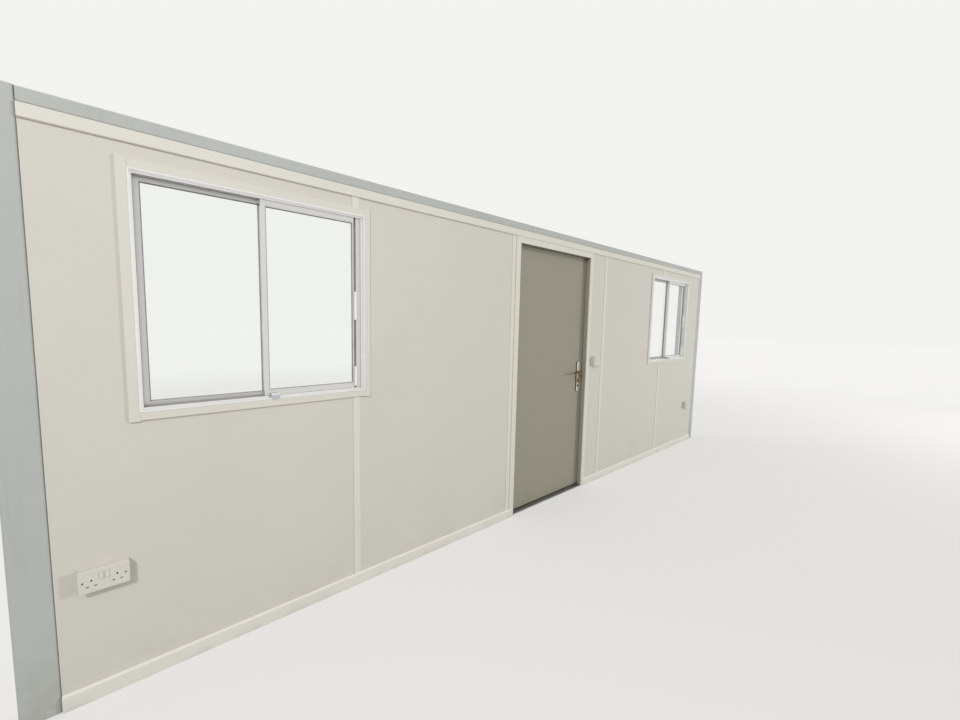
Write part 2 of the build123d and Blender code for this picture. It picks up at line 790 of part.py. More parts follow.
def surface_box(fitting, centre, height, width):
    """Shallow box on the lining under a slightly larger plate with a bevelled rim."""
    with BuildSketch(upright(room_face)) as box:
        with Locations((along(centre), height)):
            RectangleRounded(
                width - 2 * box_inset, plate_height - 2 * box_inset, plate_corner_radius - box_inset)
    extrude(box.sketch, amount=box_depth)
    with BuildSketch(upright(room_face - box_depth)) as plate:
        with Locations((along(centre), height)):
            RectangleRounded(width, plate_height, plate_corner_radius)
    extrude(plate.sketch, amount=plate_depth)
    chamfer(fitting.faces().sort_by(Axis.Y)[0].outer_wire().edges(), length=plate_edge_bevel)


def rocker(centre, height):
    """Rocker in a shallow seat in a plate, tilted out at its foot."""
    foot = height - rocker_height / 2
    head = height + rocker_height / 2
    seat = plate_face + rocker_seat_depth
    block(
        (centre - rocker_width / 2 - rocker_gap, centre + rocker_width / 2 + rocker_gap),
        (plate_face, seat), (foot - rocker_gap, head + rocker_gap), Mode.SUBTRACT)
    with BuildSketch(Plane.YZ.offset(along(centre - rocker_width / 2))) as rocker_side:
        with BuildLine():
            Polyline(
                (seat, foot), (plate_face - rocker_proud, foot),
                (plate_face - rocker_head_proud, head), (seat, head), close=True)
        make_face()
    extrude(rocker_side.sketch, amount=rocker_width)


def recess(centre, height, size):
    """Shuttered pin hole in a plate, of this width and height."""
    block(
        (centre - size[0] / 2, centre + size[0] / 2), (plate_face, plate_face + recess_depth),
        (height - size[1] / 2, height + size[1] / 2), Mode.SUBTRACT)


# Double sockets: two rockers between two outlets, each outlet with an earth pin hole over
# two others
for side, centre in (("left", socket_left_inset), ("right", inner_length - socket_right_inset)):
    with BuildPart() as socket:
        surface_box(socket, centre, socket_centre_height, socket_width)
        for outwards in (-1, 1):
            rocker(centre + outwards * socket_rocker_offset, socket_centre_height + socket_rocker_rise)
            outlet = centre + outwards * outlet_offset
            recess(outlet, socket_centre_height + earth_pin_rise, earth_recess)
            for pin in (-1, 1):
                recess(outlet + pin * pin_spacing / 2, socket_centre_height - pin_drop, pin_recess)
    finish(socket, f"socket_{side}")

# Light switch with one rocker
with BuildPart() as light_switch:
    switch_centre = door_clear_right + switch_from_doorway
    surface_box(light_switch, switch_centre, switch_centre_height, switch_width)
    rocker(switch_centre, switch_centre_height)
finish(light_switch, "light_switch")
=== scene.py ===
"""Looks of a lined site cabin wall: finishes of its steel, boards, door and windows, and the
small fittings that its solids leave out."""

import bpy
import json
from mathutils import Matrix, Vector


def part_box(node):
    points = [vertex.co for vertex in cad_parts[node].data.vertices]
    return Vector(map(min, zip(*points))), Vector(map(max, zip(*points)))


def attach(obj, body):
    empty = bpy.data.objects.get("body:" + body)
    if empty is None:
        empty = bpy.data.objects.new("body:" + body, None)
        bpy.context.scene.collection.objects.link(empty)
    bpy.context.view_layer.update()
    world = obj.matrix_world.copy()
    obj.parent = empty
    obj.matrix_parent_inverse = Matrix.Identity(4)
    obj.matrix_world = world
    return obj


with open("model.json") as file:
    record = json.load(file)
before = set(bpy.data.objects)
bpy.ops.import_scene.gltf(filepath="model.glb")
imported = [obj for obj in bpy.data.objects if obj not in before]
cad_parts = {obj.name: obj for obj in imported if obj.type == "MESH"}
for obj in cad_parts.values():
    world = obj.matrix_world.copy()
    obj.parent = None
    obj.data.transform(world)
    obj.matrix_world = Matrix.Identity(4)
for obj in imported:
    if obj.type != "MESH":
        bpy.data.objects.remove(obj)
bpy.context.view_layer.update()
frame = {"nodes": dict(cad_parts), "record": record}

import json
import math
import bmesh
import bpy
import numpy as np
from mathutils import Matrix, Vector

MM = 0.001
SIDES = ("left", "right")
TO_ROOM, TO_OUTSIDE, TO_RIGHT, UP = (0, -1, 0), (0, 1, 0), (1, 0, 0), (0, 0, 1)

# Windows. Borders of a light are given as (left, right), (foot, head)
BORDERS = {
    "fixed_light": ((27 * MM, 22 * MM), (26 * MM, 22 * MM)),
    "sash": ((22 * MM, 47 * MM), (35 * MM, 31 * MM))}
LIGHT_DEPTH = 20 * MM
PANE_THICKNESS = 4 * MM
PANE_TO_BEAD = 5 * MM
GASKET_WIDTH = 3 * MM
FIN_HEIGHT = 7 * MM
FRAME_WALL = 3 * MM
FLANGE_OVERLAP = 4 * MM
SILL_STOP_TOP = 1124.2 * MM
STILE_GROOVE = (11 * MM, 4 * MM)
STILE_GROOVE_START = 6.5 * MM
INSERT_WALL, INSERT_FLOOR, INSERT_LAP = 0.35 * MM, 0.6 * MM, 0.1 * MM
INSERT_SET_BACK, INSERT_END_GAP = 0.25 * MM, 0.4 * MM

# Outside of the windows: foam closers and a fillet of sealant (width, height)
OUTER_FLANGE_THICKNESS = 2 * MM
CLOSER_DEPTH = 18 * MM
CLOSER_INSET, CLOSER_END_INSET, CLOSER_JOINT = 4 * MM, 2 * MM, 0.2 * MM
CLOSER_SET_BACK, CLOSER_THINNEST, CLOSER_SHORTEST = 0.2 * MM, 0.05 * MM, 1 * MM
FILLET = (3.2 * MM, 1.7 * MM)
FILLET_LAP = 0.2 * MM

# Doorway and hinges
DOOR_GAP = 5 * MM
DOOR_OVERLAP = 12 * MM
SEAL_MIDDLE, SEAL_HALF_WIDTH = 7 * MM, 4 * MM
SEAL_GAP, SEAL_SUNK, SEAL_FOOT_GAP = 0.4 * MM, 0.2 * MM, 1 * MM
BRUSH_SET_BACK, BRUSH_THICKNESS, BRUSH_END_GAP = 10 * MM, 6 * MM, 15 * MM
BRUSH_ABOVE_THRESHOLD, BRUSH_BELOW_LEAF = 1.4 * MM, 0.2 * MM
HINGE_COUNT = 3
KNUCKLE_LENGTH = 45 * MM
HINGE_PLATE = (24 * MM, 3 * MM)
HINGE_SCREW_REACH = 0.7
HINGE_SCREW_PLACES = np.array([0.24, 0.76])
THRESHOLD_SCREWS, THRESHOLD_SCREW_INSET = 4, (60 * MM, 18 * MM)

# Lock. Blocks are given as (along the wall, through it, up)
PLATE_DEPTH, PLATE_RIM_LIP = 9 * MM, 1.5 * MM
PLATE_SCREW_INSET = 17 * MM
PLUG_BELOW_TOP = 8.2 * MM
FIXING_HOLE_RADIUS, FIXING_HOLE_DROP, HOLE_SHADE_RISE = 11.5 * MM, 31 * MM, 0.2 * MM
FOREND, FOREND_RISE, FOREND_SCREW_REACH = (0.5 * MM, 20 * MM, 235 * MM), 36 * MM, 106 * MM
LATCH, LATCH_PROUD, LATCH_RISE = (2.6 * MM, 12 * MM, 28 * MM), 1.4 * MM, 20 * MM
KEEP = (0.8 * MM, 24 * MM, 170 * MM)

# Switch and sockets
SOCKET_SCREW_SPACING, SWITCH_SCREW_SPACING = 120.6 * MM, 60.3 * MM
FITTING_SCREW_DEPTH = 3 * MM
OUTLET_OFFSET, PIN_OFFSET = 36 * MM, 11.1 * MM
EARTH_RISE, PIN_DROP, SHUTTER_DEPTH = 4 * MM, 18.5 * MM, 6.6 * MM
EARTH_SHUTTER = (4.4 * MM, 0.5 * MM, 8.4 * MM)
PIN_SHUTTER = (7.2 * MM, 0.5 * MM, 4.6 * MM)

# Nails in the trims: how far from an edge, how far from an end, and how far apart
WINDOW_NAIL_INSET, WINDOW_NAIL_END = 5 * MM, 18 * MM
UPRIGHT_NAIL_PITCH, RAIL_NAIL_PITCH, RAIL_NAIL_END = 230 * MM, 280 * MM, 40 * MM
CEILING_NAIL_INSET, CEILING_NAIL_END, CEILING_NAIL_PITCH = 22 * MM, 60 * MM, 480 * MM
DOOR_NAIL_INSET, DOOR_NAIL_ENDS, DOOR_NAIL_PITCH = 22 * MM, (120 * MM, 25 * MM), 380 * MM
NAIL_HEAD = [
    (2.1 * MM, -0.1 * MM), (1.9 * MM, 0.12 * MM), (1.2 * MM, 0.22 * MM), (0.01 * MM, 0.25 * MM)]

# Ribbed sheet and its welds
RIB_COUNT = 30
RIB_DEPTH = 20 * MM
RIB_BASE = 66 * MM
RIB_CREST = 36 * MM
RIB_SLACK = 0.1 * MM
EDGE_WELD, END_WELD = 2.6 * MM, 2.4 * MM
WELD_RIPPLE, WELD_PITCH, WELD_STEP = 0.22, 6 * MM, 2.5 * MM
WELD_INSET, WELD_END_GAP = 1 * MM, 4 * MM

# Screw heads in millimetres: radius and height of the dome, width, reach and depth of a drive
# slot, and the number of slots that cross
HEADS = {
    "plate": (4.2, 1.1, 0.9, 2.4, 0.9, 2),
    "hinge": (3.6, 0.5, 0.8, 2.2, 0.7, 2),
    "forend": (3.6, 0.4, 0.8, 2.2, 0.5, 2),
    "threshold": (4.0, 0.4, 0.9, 2.6, 0.6, 2),
    "fitting": (3.4, 0.7, 0.9, 3.0, 0.7, 1),
    "key_plug": (6.3, 0.5, 1.3, 4.6, 1.4, 1)}
HEAD_RINGS = np.array([1.0, 1.0, 0.93, 0.84, 0.72, 0.6, 0.48, 0.36, 0.26, 0.16, 0.08, 0.001])
HEAD_SUNK = 0.2 * MM


# Places

def node_span(node):
    """Lowest and highest corner of a solid, as arrays."""
    low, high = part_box(node)
    return np.array(low), np.array(high)


def places(x, y, z):
    """Points from x, y and z, each a number or an array of one shape."""
    return np.stack(np.broadcast_arrays(x, y, z), -1)


def spaced(start, end, pitch):
    """Places from start to end at an even pitch near the one that is asked."""
    return np.linspace(start, end, max(2, int(round((end - start) / pitch)) + 1))


# Meshes worked out as arrays

def ring_faces(copies, rows, columns, loop):
    """Four-cornered faces between neighbouring rings of points, for a number of like pieces."""
    row = np.arange(rows if loop else rows - 1)
    r, c = np.meshgrid(row, np.arange(columns), indexing="ij")
    near, far = r * columns, ((r + 1) % rows) * columns
    beside = (c + 1) % columns
    quads = np.stack([near + c, near + beside, far + beside, far + c], -1).reshape(-1, 4)
    start = np.arange(copies)[:, None, None] * rows * columns
    return (quads[None] + start).reshape(-1, 4)


def cap_faces(copies, rows, columns):
    """Closing faces over the first and last ring of each piece."""
    first = np.arange(columns)[::-1]
    last = np.arange(columns) + (rows - 1) * columns
    caps = np.stack([first, last])
    start = np.arange(copies)[:, None, None] * rows * columns
    return (caps[None] + start).reshape(-1, columns)


def ring_piece(name, rings, look, body="wall", loop=False, caps=False, smooth=None):
    """Object skinned over closed rings of points, an array (copies, rings, points, 3). The last
    ring joins the first in a loop, or caps close both. A look is a material and its slot."""
    rings = np.asarray(rings, float)
    if rings.ndim == 3:
        rings = rings[None]
    copies, rows, columns, _ = rings.shape
    faces = ring_faces(copies, rows, columns, loop).tolist()
    if caps:
        faces += cap_faces(copies, rows, columns).tolist()
    mesh = bpy.data.meshes.new(name)
    mesh.from_pydata(rings.reshape(-1, 3).tolist(), [], faces)
    shell = bmesh.new()
    shell.from_mesh(mesh)
    bmesh.ops.remove_doubles(shell, verts=shell.verts, dist=1e-6)
    bmesh.ops.recalc_face_normals(shell, faces=shell.faces)
    shell.to_mesh(mesh)
    shell.free()
    if smooth is not None:
        mesh.polygons.foreach_set("use_smooth", np.ones(len(mesh.polygons), bool))
        mesh.set_sharp_from_angle(angle=math.radians(smooth))
    material, slot = look
    mesh.materials.append(material)
    piece = bpy.data.objects.new(name, mesh)
    bpy.context.scene.collection.objects.link(piece)
    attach(piece, body)


def framed(low, high, profile):
    """Closed profile carried round a rectangle in X and Z with mitred corners. A profile point
    (inwards, y) lies that far inside the rectangle, at that y: x = edge +- inwards."""
    inwards, y = np.asarray(profile, float).T
    corners = np.array([[0, 0], [1, 0], [1, 1], [0, 1]])
    edge = np.array([[low[0], low[2]], [high[0], high[2]]])
    x = edge[corners[:, 0], 0][:, None] + (1 - 2 * corners[:, :1]) * inwards
    z = edge[corners[:, 1], 1][:, None] + (1 - 2 * corners[:, 1:]) * inwards
    return places(x, y, z)


def full_turn(segments):
    """Even angles round a circle."""
    return np.linspace(0, 2 * np.pi, segments, endpoint=False)


def directions(axis):
    """An axis and two directions square to it, as arrays."""
    axis = np.asarray(axis, float)
    side = np.roll(axis, 1)
    return axis, side, np.cross(axis, side)


def turned(profile, centres, axis, segments):
    """Profile (radius, height) turned about an axis through each centre:
    p = centre + height * axis + radius * (cos t * side + sin t * other side)."""
    profile = np.asarray(profile, float)
    centres = np.atleast_2d(centres)
    axis, side, other = directions(axis)
    t = full_turn(segments)[:, None]
    ring = np.cos(t) * side + np.sin(t) * other
    offset = profile[:, None, :1] * ring + profile[:, None, 1:] * axis
    return centres[:, None, None] + offset


def headed(kind, centres, axis, turn=0.4, segments=32):
    """Domed heads with drive slots, as a height over a disc: h = height * sqrt(1 - (0.9 r)^2),
    with r from 0 to 1, less the slots' depth wherever a point lies inside one. Each head is
    turned on from the one before."""
    radius, height, slot_width, slot_reach, slot_depth = np.array(HEADS[kind][:5]) * MM
    centres = np.atleast_2d(centres)
    axis, side, other = directions(axis)
    r, t = np.meshgrid(HEAD_RINGS * radius, full_turn(segments), indexing="ij")
    u, v = r * np.cos(t), r * np.sin(t)
    h = height * np.sqrt(1 - (0.9 * r / radius) ** 2)
    cut = (np.abs(v) < slot_width / 2) & (np.abs(u) < slot_reach)
    if HEADS[kind][5] == 2:
        cut |= (np.abs(u) < slot_width / 2) & (np.abs(v) < slot_reach)
    h = np.where(cut, h - slot_depth, h)
    h[0] = -HEAD_SUNK
    angle = turn * np.arange(len(centres))[:, None]
    along = np.cos(angle) * side + np.sin(angle) * other
    across = np.cross(axis, along)
    return (centres[:, None, None] + u[..., None] * along[:, None, None]
            + v[..., None] * across[:, None, None] + h[..., None] * axis)


def blocks(centres, size):
    """Plain blocks round each centre, as rings of four corners carried along X."""
    half = np.asarray(size, float) / 2
    ends = np.array([-1, 1])[:, None] * half[0]
    corner = np.array([[-1, -1], [1, -1], [1, 1], [-1, 1]]) * half[1:]
    offset = places(ends, corner[:, 0], corner[:, 1])
    return np.atleast_2d(centres)[:, None, None] + offset


def bead_along(path, radius, up, segments=8):
    """Round bead along a polyline: its radius swells as radius * (1 + ripple * |sin(pi s / pitch)|)
    with the distance s, in the plane square to the path's direction."""
    length = np.linalg.norm(np.diff(path, axis=0), axis=1)
    at = np.concatenate([[0], np.cumsum(length)])
    s = np.unique(np.concatenate([np.arange(0, at[-1], WELD_STEP), at]))
    centre = np.stack([np.interp(s, at, path[:, k]) for k in range(3)], -1)
    along = np.gradient(centre, axis=0)
    along /= np.linalg.norm(along, axis=1, keepdims=True)
    up = np.asarray(up, float)
    side = np.cross(along, up)
    side /= np.linalg.norm(side, axis=1, keepdims=True)
    t = full_turn(segments)[:, None]
    swell = radius * (1 + WELD_RIPPLE * np.abs(np.sin(np.pi * s / WELD_PITCH)))
    spoke = side[:, None] * np.cos(t) + up * np.sin(t)
    return centre[:, None] + swell[:, None, None] * spoke


# Shader node groups: the effects that several finishes share

class Net:
    """Short way to add and join nodes in a material or group."""

    def __init__(self, tree):
        self.tree = tree

    def add(self, kind, inputs=None, **settings):
        node = self.tree.nodes.new(kind)
        for key, value in settings.items():
            setattr(node, key, value)
        for key, value in (inputs or {}).items():
            if isinstance(value, bpy.types.NodeSocket):
                self.tree.links.new(value, node.inputs[key])
            else:
                node.inputs[key].default_value = value
        return node

    def feed(self, node, **outputs):
        for key, value in outputs.items():
            self.tree.links.new(value, node.inputs[key.replace("_", " ")])

    def math(self, operation, a, b=0.0, clamp=False):
        node = self.add("ShaderNodeMath", {0: a, 1: b}, operation=operation, use_clamp=clamp)
        return node.outputs[0]

    def noise(self, vector, scale, detail=4.0, roughness=0.55):
        inputs = {"Vector": vector, "Scale": scale, "Detail": detail, "Roughness": roughness}
        return self.add("ShaderNodeTexNoise", inputs).outputs["Fac"]

    def remap(self, value, low, high, to_low=0.0, to_high=1.0):
        inputs = {"Value": value, "From Min": low, "From Max": high, "To Min": to_low,
                  "To Max": to_high}
        node = self.add("ShaderNodeMapRange", inputs, interpolation_type="SMOOTHSTEP")
        return node.outputs["Result"]

    def stretch(self, vector, factors, rotation=(0, 0, 0)):
        inputs = {"Vector": vector, "Rotation": rotation, "Scale": factors}
        return self.add("ShaderNodeMapping", inputs).outputs["Vector"]

    def apart(self, vector):
        return self.add("ShaderNodeSeparateXYZ", {0: vector}).outputs

    def mix(self, factor, a, b):
        return self.add("ShaderNodeMix", {0: factor, 6: a, 7: b}, data_type="RGBA").outputs[2]

    def bump(self, height, strength, distance):
        inputs = {"Height": height, "Strength": strength, "Distance": distance}
        return self.add("ShaderNodeBump", inputs).outputs["Normal"]

    def effect(self, name, **inputs):
        """A shared effect placed in a material with its own values."""
        node = self.add("ShaderNodeGroup", node_tree=EFFECTS[name])
        for key, value in inputs.items():
            node.inputs[key.title()].default_value = value
        return node.outputs[0]


def mottle(net, given, place):
    """Broad cloudy change of tone, 0 to 1 about a middle of 0.5."""
    broad = net.noise(place, given["Scale"], detail=3.0)
    fine = net.noise(place, net.math("MULTIPLY", given["Scale"], 7.0), detail=2.0)
    both = net.math("ADD", net.math("MULTIPLY", broad, 0.7), net.math("MULTIPLY", fine, 0.3))
    spread = net.math("MULTIPLY", net.math("SUBTRACT", both, 0.5), given["Contrast"])
    return net.math("ADD", spread, 0.5, clamp=True)


def orange_peel(net, given, place):
    """The close dimples of sprayed paint and moulded sheet, as a height."""
    close = net.noise(place, given["Scale"], detail=2.0)
    loose = net.noise(place, net.math("MULTIPLY", given["Scale"], 0.22), detail=1.0)
    return net.math("ADD", net.math("MULTIPLY", close, 0.6), net.math("MULTIPLY", loose, 0.4))


def dust(net, given, place):
    """Dust, thickest at the floor and thinning to Reach above it, broken up by noise."""
    high = net.apart(place)["Z"]
    low = net.math("SUBTRACT", 1.0, net.math("DIVIDE", high, given["Reach"]), clamp=True)
    cloud = net.remap(net.noise(place, 9.0, detail=6.0, roughness=0.65), 0.38, 0.68)
    faint = net.math("MULTIPLY", net.remap(net.noise(place, 2.3, detail=5.0), 0.5, 0.75), 0.18)
    both = net.math("ADD", net.math("MULTIPLY", net.math("MULTIPLY", low, low), cloud), faint)
    return net.math("MULTIPLY", both, given["Amount"], clamp=True)


def edge_wear(net, given, place):
    """Worn edges, where the rounded normal leaves the true one, broken up by noise."""
    bevel = net.add("ShaderNodeBevel", {"Radius": given["Radius"]}, samples=4)
    true = net.add("ShaderNodeNewGeometry").outputs["True Normal"]
    inputs = {0: bevel.outputs["Normal"], 1: true}
    dot = net.add("ShaderNodeVectorMath", inputs, operation="DOT_PRODUCT").outputs["Value"]
    edge = net.remap(dot, 0.985, 0.80)
    broken = net.remap(net.noise(place, 130.0, detail=4.0, roughness=0.7), 0.46, 0.62)
    both = net.math("MULTIPLY", edge, broken)
    return net.math("MULTIPLY", both, given["Amount"], clamp=True)


def runs(net, given, place):
    """Upright streaks that rain leaves, from noise drawn out along Z and broken up."""
    drawn = net.stretch(place, (1, 1, 0.05))
    streak = net.remap(
        net.noise(drawn, given["Scale"], detail=4.0, roughness=0.6), 0.50, 0.72)
    where = net.remap(net.noise(place, 1.7, detail=2.0), 0.35, 0.70)
    both = net.math("MULTIPLY", streak, where)
    return net.math("MULTIPLY", both, given["Amount"], clamp=True)


def scratches(net, given, place):
    """Thin lines in three directions, from noise stretched hard along each."""
    lines = []
    for turn in (0.3, 1.5, 2.6):
        bent = net.stretch(place, (0.03, 1, 1), rotation=(0, turn, 0))
        streak = net.noise(bent, given["Scale"], detail=3.0, roughness=0.6)
        lines.append(net.remap(streak, 0.66, 0.72))
    most = net.math("MAXIMUM", net.math("MAXIMUM", lines[0], lines[1]), lines[2])
    where = net.remap(net.noise(place, 5.0), 0.45, 0.6)
    both = net.math("MULTIPLY", most, where)
    return net.math("MULTIPLY", both, given["Amount"], clamp=True)


def effect_group(work_out, output, **inputs):
    """Shader group of an effect, with float inputs and what the effect works out as output."""
    group = bpy.data.node_groups.new(work_out.__name__, "ShaderNodeTree")
    for label, value in inputs.items():
        socket = group.interface.new_socket(label, in_out="INPUT", socket_type="NodeSocketFloat")
        socket.default_value = value
    group.interface.new_socket(output, in_out="OUTPUT", socket_type="NodeSocketFloat")
    net = Net(group)
    given = net.add("NodeGroupInput").outputs
    place = net.add("ShaderNodeTexCoord").outputs["Object"]
    net.add("NodeGroupOutput", {output: work_out(net, given, place)})
    return group


EFFECTS = {
    "mottle": effect_group(mottle, "Mask", Scale=3.0, Contrast=1.0),
    "orange_peel": effect_group(orange_peel, "Height", Scale=400.0),
    "dust": effect_group(dust, "Mask", Reach=0.25, Amount=0.5),
    "edge_wear": effect_group(edge_wear, "Mask", Radius=0.002, Amount=1.0),
    "runs": effect_group(runs, "Mask", Scale=30.0, Amount=0.4),
    "scratches": effect_group(scratches, "Mask", Scale=60.0, Amount=0.5)}


# Colours

def srgb(red, green, blue):
    """Linear colour of a shade given as it looks on a screen, 0 to 255."""
    value = np.array([red, green, blue]) / 255
    linear = np.where(value <= 0.04045, value / 12.92, ((value + 0.055) / 1.055) ** 2.4)
    return (*linear.tolist(), 1.0)


def shaded(colour, factor):
    """A colour made darker or lighter by a factor."""
    return tuple(min(1.0, c * factor) for c in colour[:3]) + (1.0,)


LINING = srgb(199, 196, 186)
TRIM = srgb(209, 206, 196)
WINDOW_TRIM = srgb(205, 202, 192)
SKIRTING = srgb(214, 211, 201)
DOOR = srgb(143, 140, 125)
DOOR_FRAME = srgb(154, 150, 136)
OUTSIDE = srgb(172, 175, 170)
DUST = srgb(126, 118, 104)
BARE_METAL = srgb(150, 150, 148)
# Painted shade and grime for the sides of the lock plates' rims
RIM_SHADE_AND_GRIME = srgb(78, 71, 56)


# Finishes. Depths are those of the bumps in a surface

PEEL_DEPTH, GRAIN_DEPTH, FIBRE_DEPTH = 0.4 * MM, 0.2 * MM, 2 * MM


def new_finish(name, **settings):
    """Material with its node helper, its shader and object coordinates."""
    material = bpy.data.materials.new(name)
    material.use_nodes = True
    material.node_tree.nodes.clear()
    net = Net(material.node_tree)
    inputs = {key.replace("_", " "): value for key, value in settings.items()}
    shader = net.add("ShaderNodeBsdfPrincipled", inputs)
    net.add("ShaderNodeOutputMaterial", {"Surface": shader.outputs[0]})
    place = net.add("ShaderNodeTexCoord").outputs["Object"]
    return material, net, shader, place


def painted(name, colour, roughness=0.45, peel=400.0, relief=0.15, mottled=0.06, dusted=0.3,
            reach=0.3, wear=0.0, scratched=0.0, streaked=0.0, foot_colour=None, foot_height=0.0):
    """Sprayed paint, board face or moulded plastic: mottled colour, dimples, dust low down,
    and rain streaks, scratches, worn edges or another colour up to a height where asked."""
    material, net, shader, place = new_finish(name, Roughness=roughness)
    tone = net.effect("mottle", scale=2.6, contrast=1.6)
    base = net.mix(tone, shaded(colour, 1 - mottled), shaded(colour, 1 + mottled))
    if foot_colour:
        above = net.math("GREATER_THAN", net.apart(place)["Z"], foot_height)
        base = net.mix(above, foot_colour, base)
    dusty = net.effect("dust", reach=reach, amount=dusted)
    base = net.mix(dusty, base, DUST)
    rough = net.math("ADD", net.remap(tone, 0.2, 0.8, roughness - 0.05, roughness + 0.06),
                     net.math("MULTIPLY", dusty, 0.3))
    if streaked:
        streaks = net.effect("runs", scale=34.0, amount=streaked)
        base = net.mix(streaks, base, shaded(colour, 0.62))
    if scratched:
        marks = net.effect("scratches", scale=70.0, amount=scratched)
        base = net.mix(marks, base, shaded(colour, 0.72))
        rough = net.math("ADD", rough, net.math("MULTIPLY", marks, 0.15))
    if wear:
        wear_or_reflection = net.effect("edge_wear", radius=0.002, amount=wear)
        base = net.mix(wear_or_reflection, base, BARE_METAL)
        net.feed(shader, Metallic=net.math("MULTIPLY", wear_or_reflection, 0.7))
    dimples = net.bump(net.effect("orange_peel", scale=peel), relief, PEEL_DEPTH)
    net.feed(shader, Base_Color=base, Roughness=rough, Normal=dimples)
    return material


def metal(name, colour, roughness=0.35, brushed=(1.0, 1.0, 0.02), grain=900.0, relief=0.08,
          dusted=0.15, reach=0.3, tarnish=0.12, lined=0.25, clouded=0.1):
    """Bare or plated metal: fine grain stretched one way, cloudy tarnish and a little dust."""
    material, net, shader, place = new_finish(name, Roughness=roughness, Metallic=1.0)
    lines = net.noise(net.stretch(place, brushed), grain, detail=3.0)
    cloud = net.effect("mottle", scale=6.0, contrast=2.0)
    base = net.mix(cloud, shaded(colour, 1 - tarnish), shaded(colour, 1 + tarnish * 0.4))
    base = net.mix(net.remap(lines, 0.3, 0.7, 0.0, lined), base, shaded(colour, 0.75))
    base = net.mix(net.effect("dust", reach=reach, amount=dusted), base, DUST)
    rough = net.math("ADD", net.remap(lines, 0.3, 0.7, roughness - 0.06, roughness + 0.08),
                     net.math("MULTIPLY", cloud, clouded))
    grooves = net.bump(lines, relief, GRAIN_DEPTH)
    net.feed(shader, Base_Color=base, Roughness=rough, Normal=grooves)
    return material


def handled(name, colour, reflection_colour, reflection_heights, faces, rim_lip):
    """Polished metal with a painted reflection, brown between two heights, and painted shade and
    grime, dark on the rim of its plates, behind their faces at two values of y."""
    material, net, shader, place = new_finish(name, Roughness=0.22, Metallic=1.0)
    apart = net.apart(place)
    reach = 0.5 * (reflection_heights[1] - reflection_heights[0])
    away = net.math("ABSOLUTE", net.math("SUBTRACT", apart["Z"], reflection_heights[0] + reach))
    blur = net.math("MULTIPLY", net.noise(place, 45.0, detail=2.0), 0.03)
    wear_or_reflection = net.remap(net.math("ADD", away, blur), reach + 0.05, reach - 0.02)
    cloud = net.effect("mottle", scale=16.0, contrast=1.6)
    # Painted reflection: brown between the two heights, where the polished plate mirrors dark
    # surroundings
    base = net.mix(wear_or_reflection, colour, reflection_colour)
    base = net.mix(net.math("MULTIPLY", cloud, 0.3), base, shaded(reflection_colour, 0.8))
    # Painted shade and grime: the rim's sides behind the plate's face are dark
    deep = net.math("ABSOLUTE", net.math("SUBTRACT", apart["Y"], (faces[0] + faces[1]) / 2))
    rim_shade = net.math("LESS_THAN", deep, (faces[1] - faces[0]) / 2 - rim_lip)
    base = net.mix(rim_shade, base, RIM_SHADE_AND_GRIME)
    marks = net.effect("scratches", scale=300.0, amount=0.3)
    rough = net.math("ADD", net.remap(cloud, 0.2, 0.8, 0.18, 0.30),
                     net.math("MULTIPLY", marks, 0.2))
    net.feed(shader, Base_Color=base, Roughness=rough)
    return material


def window_glass():
    """Clear pane with faint smears. Shadow rays pass straight through it."""
    material, net, shader, place = new_finish(
        "pane_glass", Base_Color=(0.96, 0.98, 0.97, 1), Roughness=0.0, IOR=1.45,
        Transmission_Weight=1.0)
    smear = net.noise(net.stretch(place, (1, 1, 0.4)), 7.0, detail=5.0)
    net.feed(shader, Roughness=net.remap(smear, 0.5, 0.8, 0.0, 0.05))
    clear = net.add("ShaderNodeBsdfTransparent", {"Color": (0.93, 0.95, 0.94, 1)})
    shadow = net.add("ShaderNodeLightPath").outputs["Is Shadow Ray"]
    passing = net.add("ShaderNodeMixShader", {0: shadow, 1: shader.outputs[0], 2: clear.outputs[0]})
    output = next(n for n in net.tree.nodes if n.type == "OUTPUT_MATERIAL")
    net.feed(output, Surface=passing.outputs[0])
    return material


def mineral_wool():
    """Insulation: matted yellow fibres."""
    material, net, shader, place = new_finish("mineral_wool", Roughness=0.95)
    fibres = net.noise(net.stretch(place, (1, 1, 4)), 160.0, detail=6.0, roughness=0.7)
    base = net.mix(net.remap(fibres, 0.3, 0.7), srgb(168, 150, 96), srgb(214, 198, 140))
    net.feed(shader, Base_Color=base, Normal=net.bump(fibres, 0.8, FIBRE_DEPTH))
    return material


def soft(name, colour, roughness=0.7):
    """Look of rubber, bristle and foam, and of the painted shade in holes and grooves: dull, with
    fine grain and a paler bloom.
    It comes paired with the catches' slot name, which the pieces do not use."""
    material, net, shader, place = new_finish(name, Roughness=roughness, Specular_IOR_Level=0.3)
    bloom = net.effect("mottle", scale=14.0, contrast=2.2)
    base = net.mix(bloom, colour, shaded(colour, 1.7))
    grain = net.noise(place, 1500.0, detail=2.0)
    net.feed(shader, Base_Color=base, Normal=net.bump(grain, 0.2, GRAIN_DEPTH))
    return material, "catch_plastic"


leaf_low, leaf_high = node_span("door_leaf")
PLATE_FACES = (float(leaf_low[1] - PLATE_DEPTH), float(leaf_high[1] + PLATE_DEPTH))
# Heights between which the lock plates carry a painted reflection, brown
REFLECTION_HEIGHTS = (0.955, 1.065)
TRIM_PAINT = {"peel": 300.0, "relief": 0.10, "mottled": 0.02}
WINDOW_ALLOY = {"brushed": (1, 1, 1), "grain": 1400.0, "relief": 0.04, "clouded": 0.04}

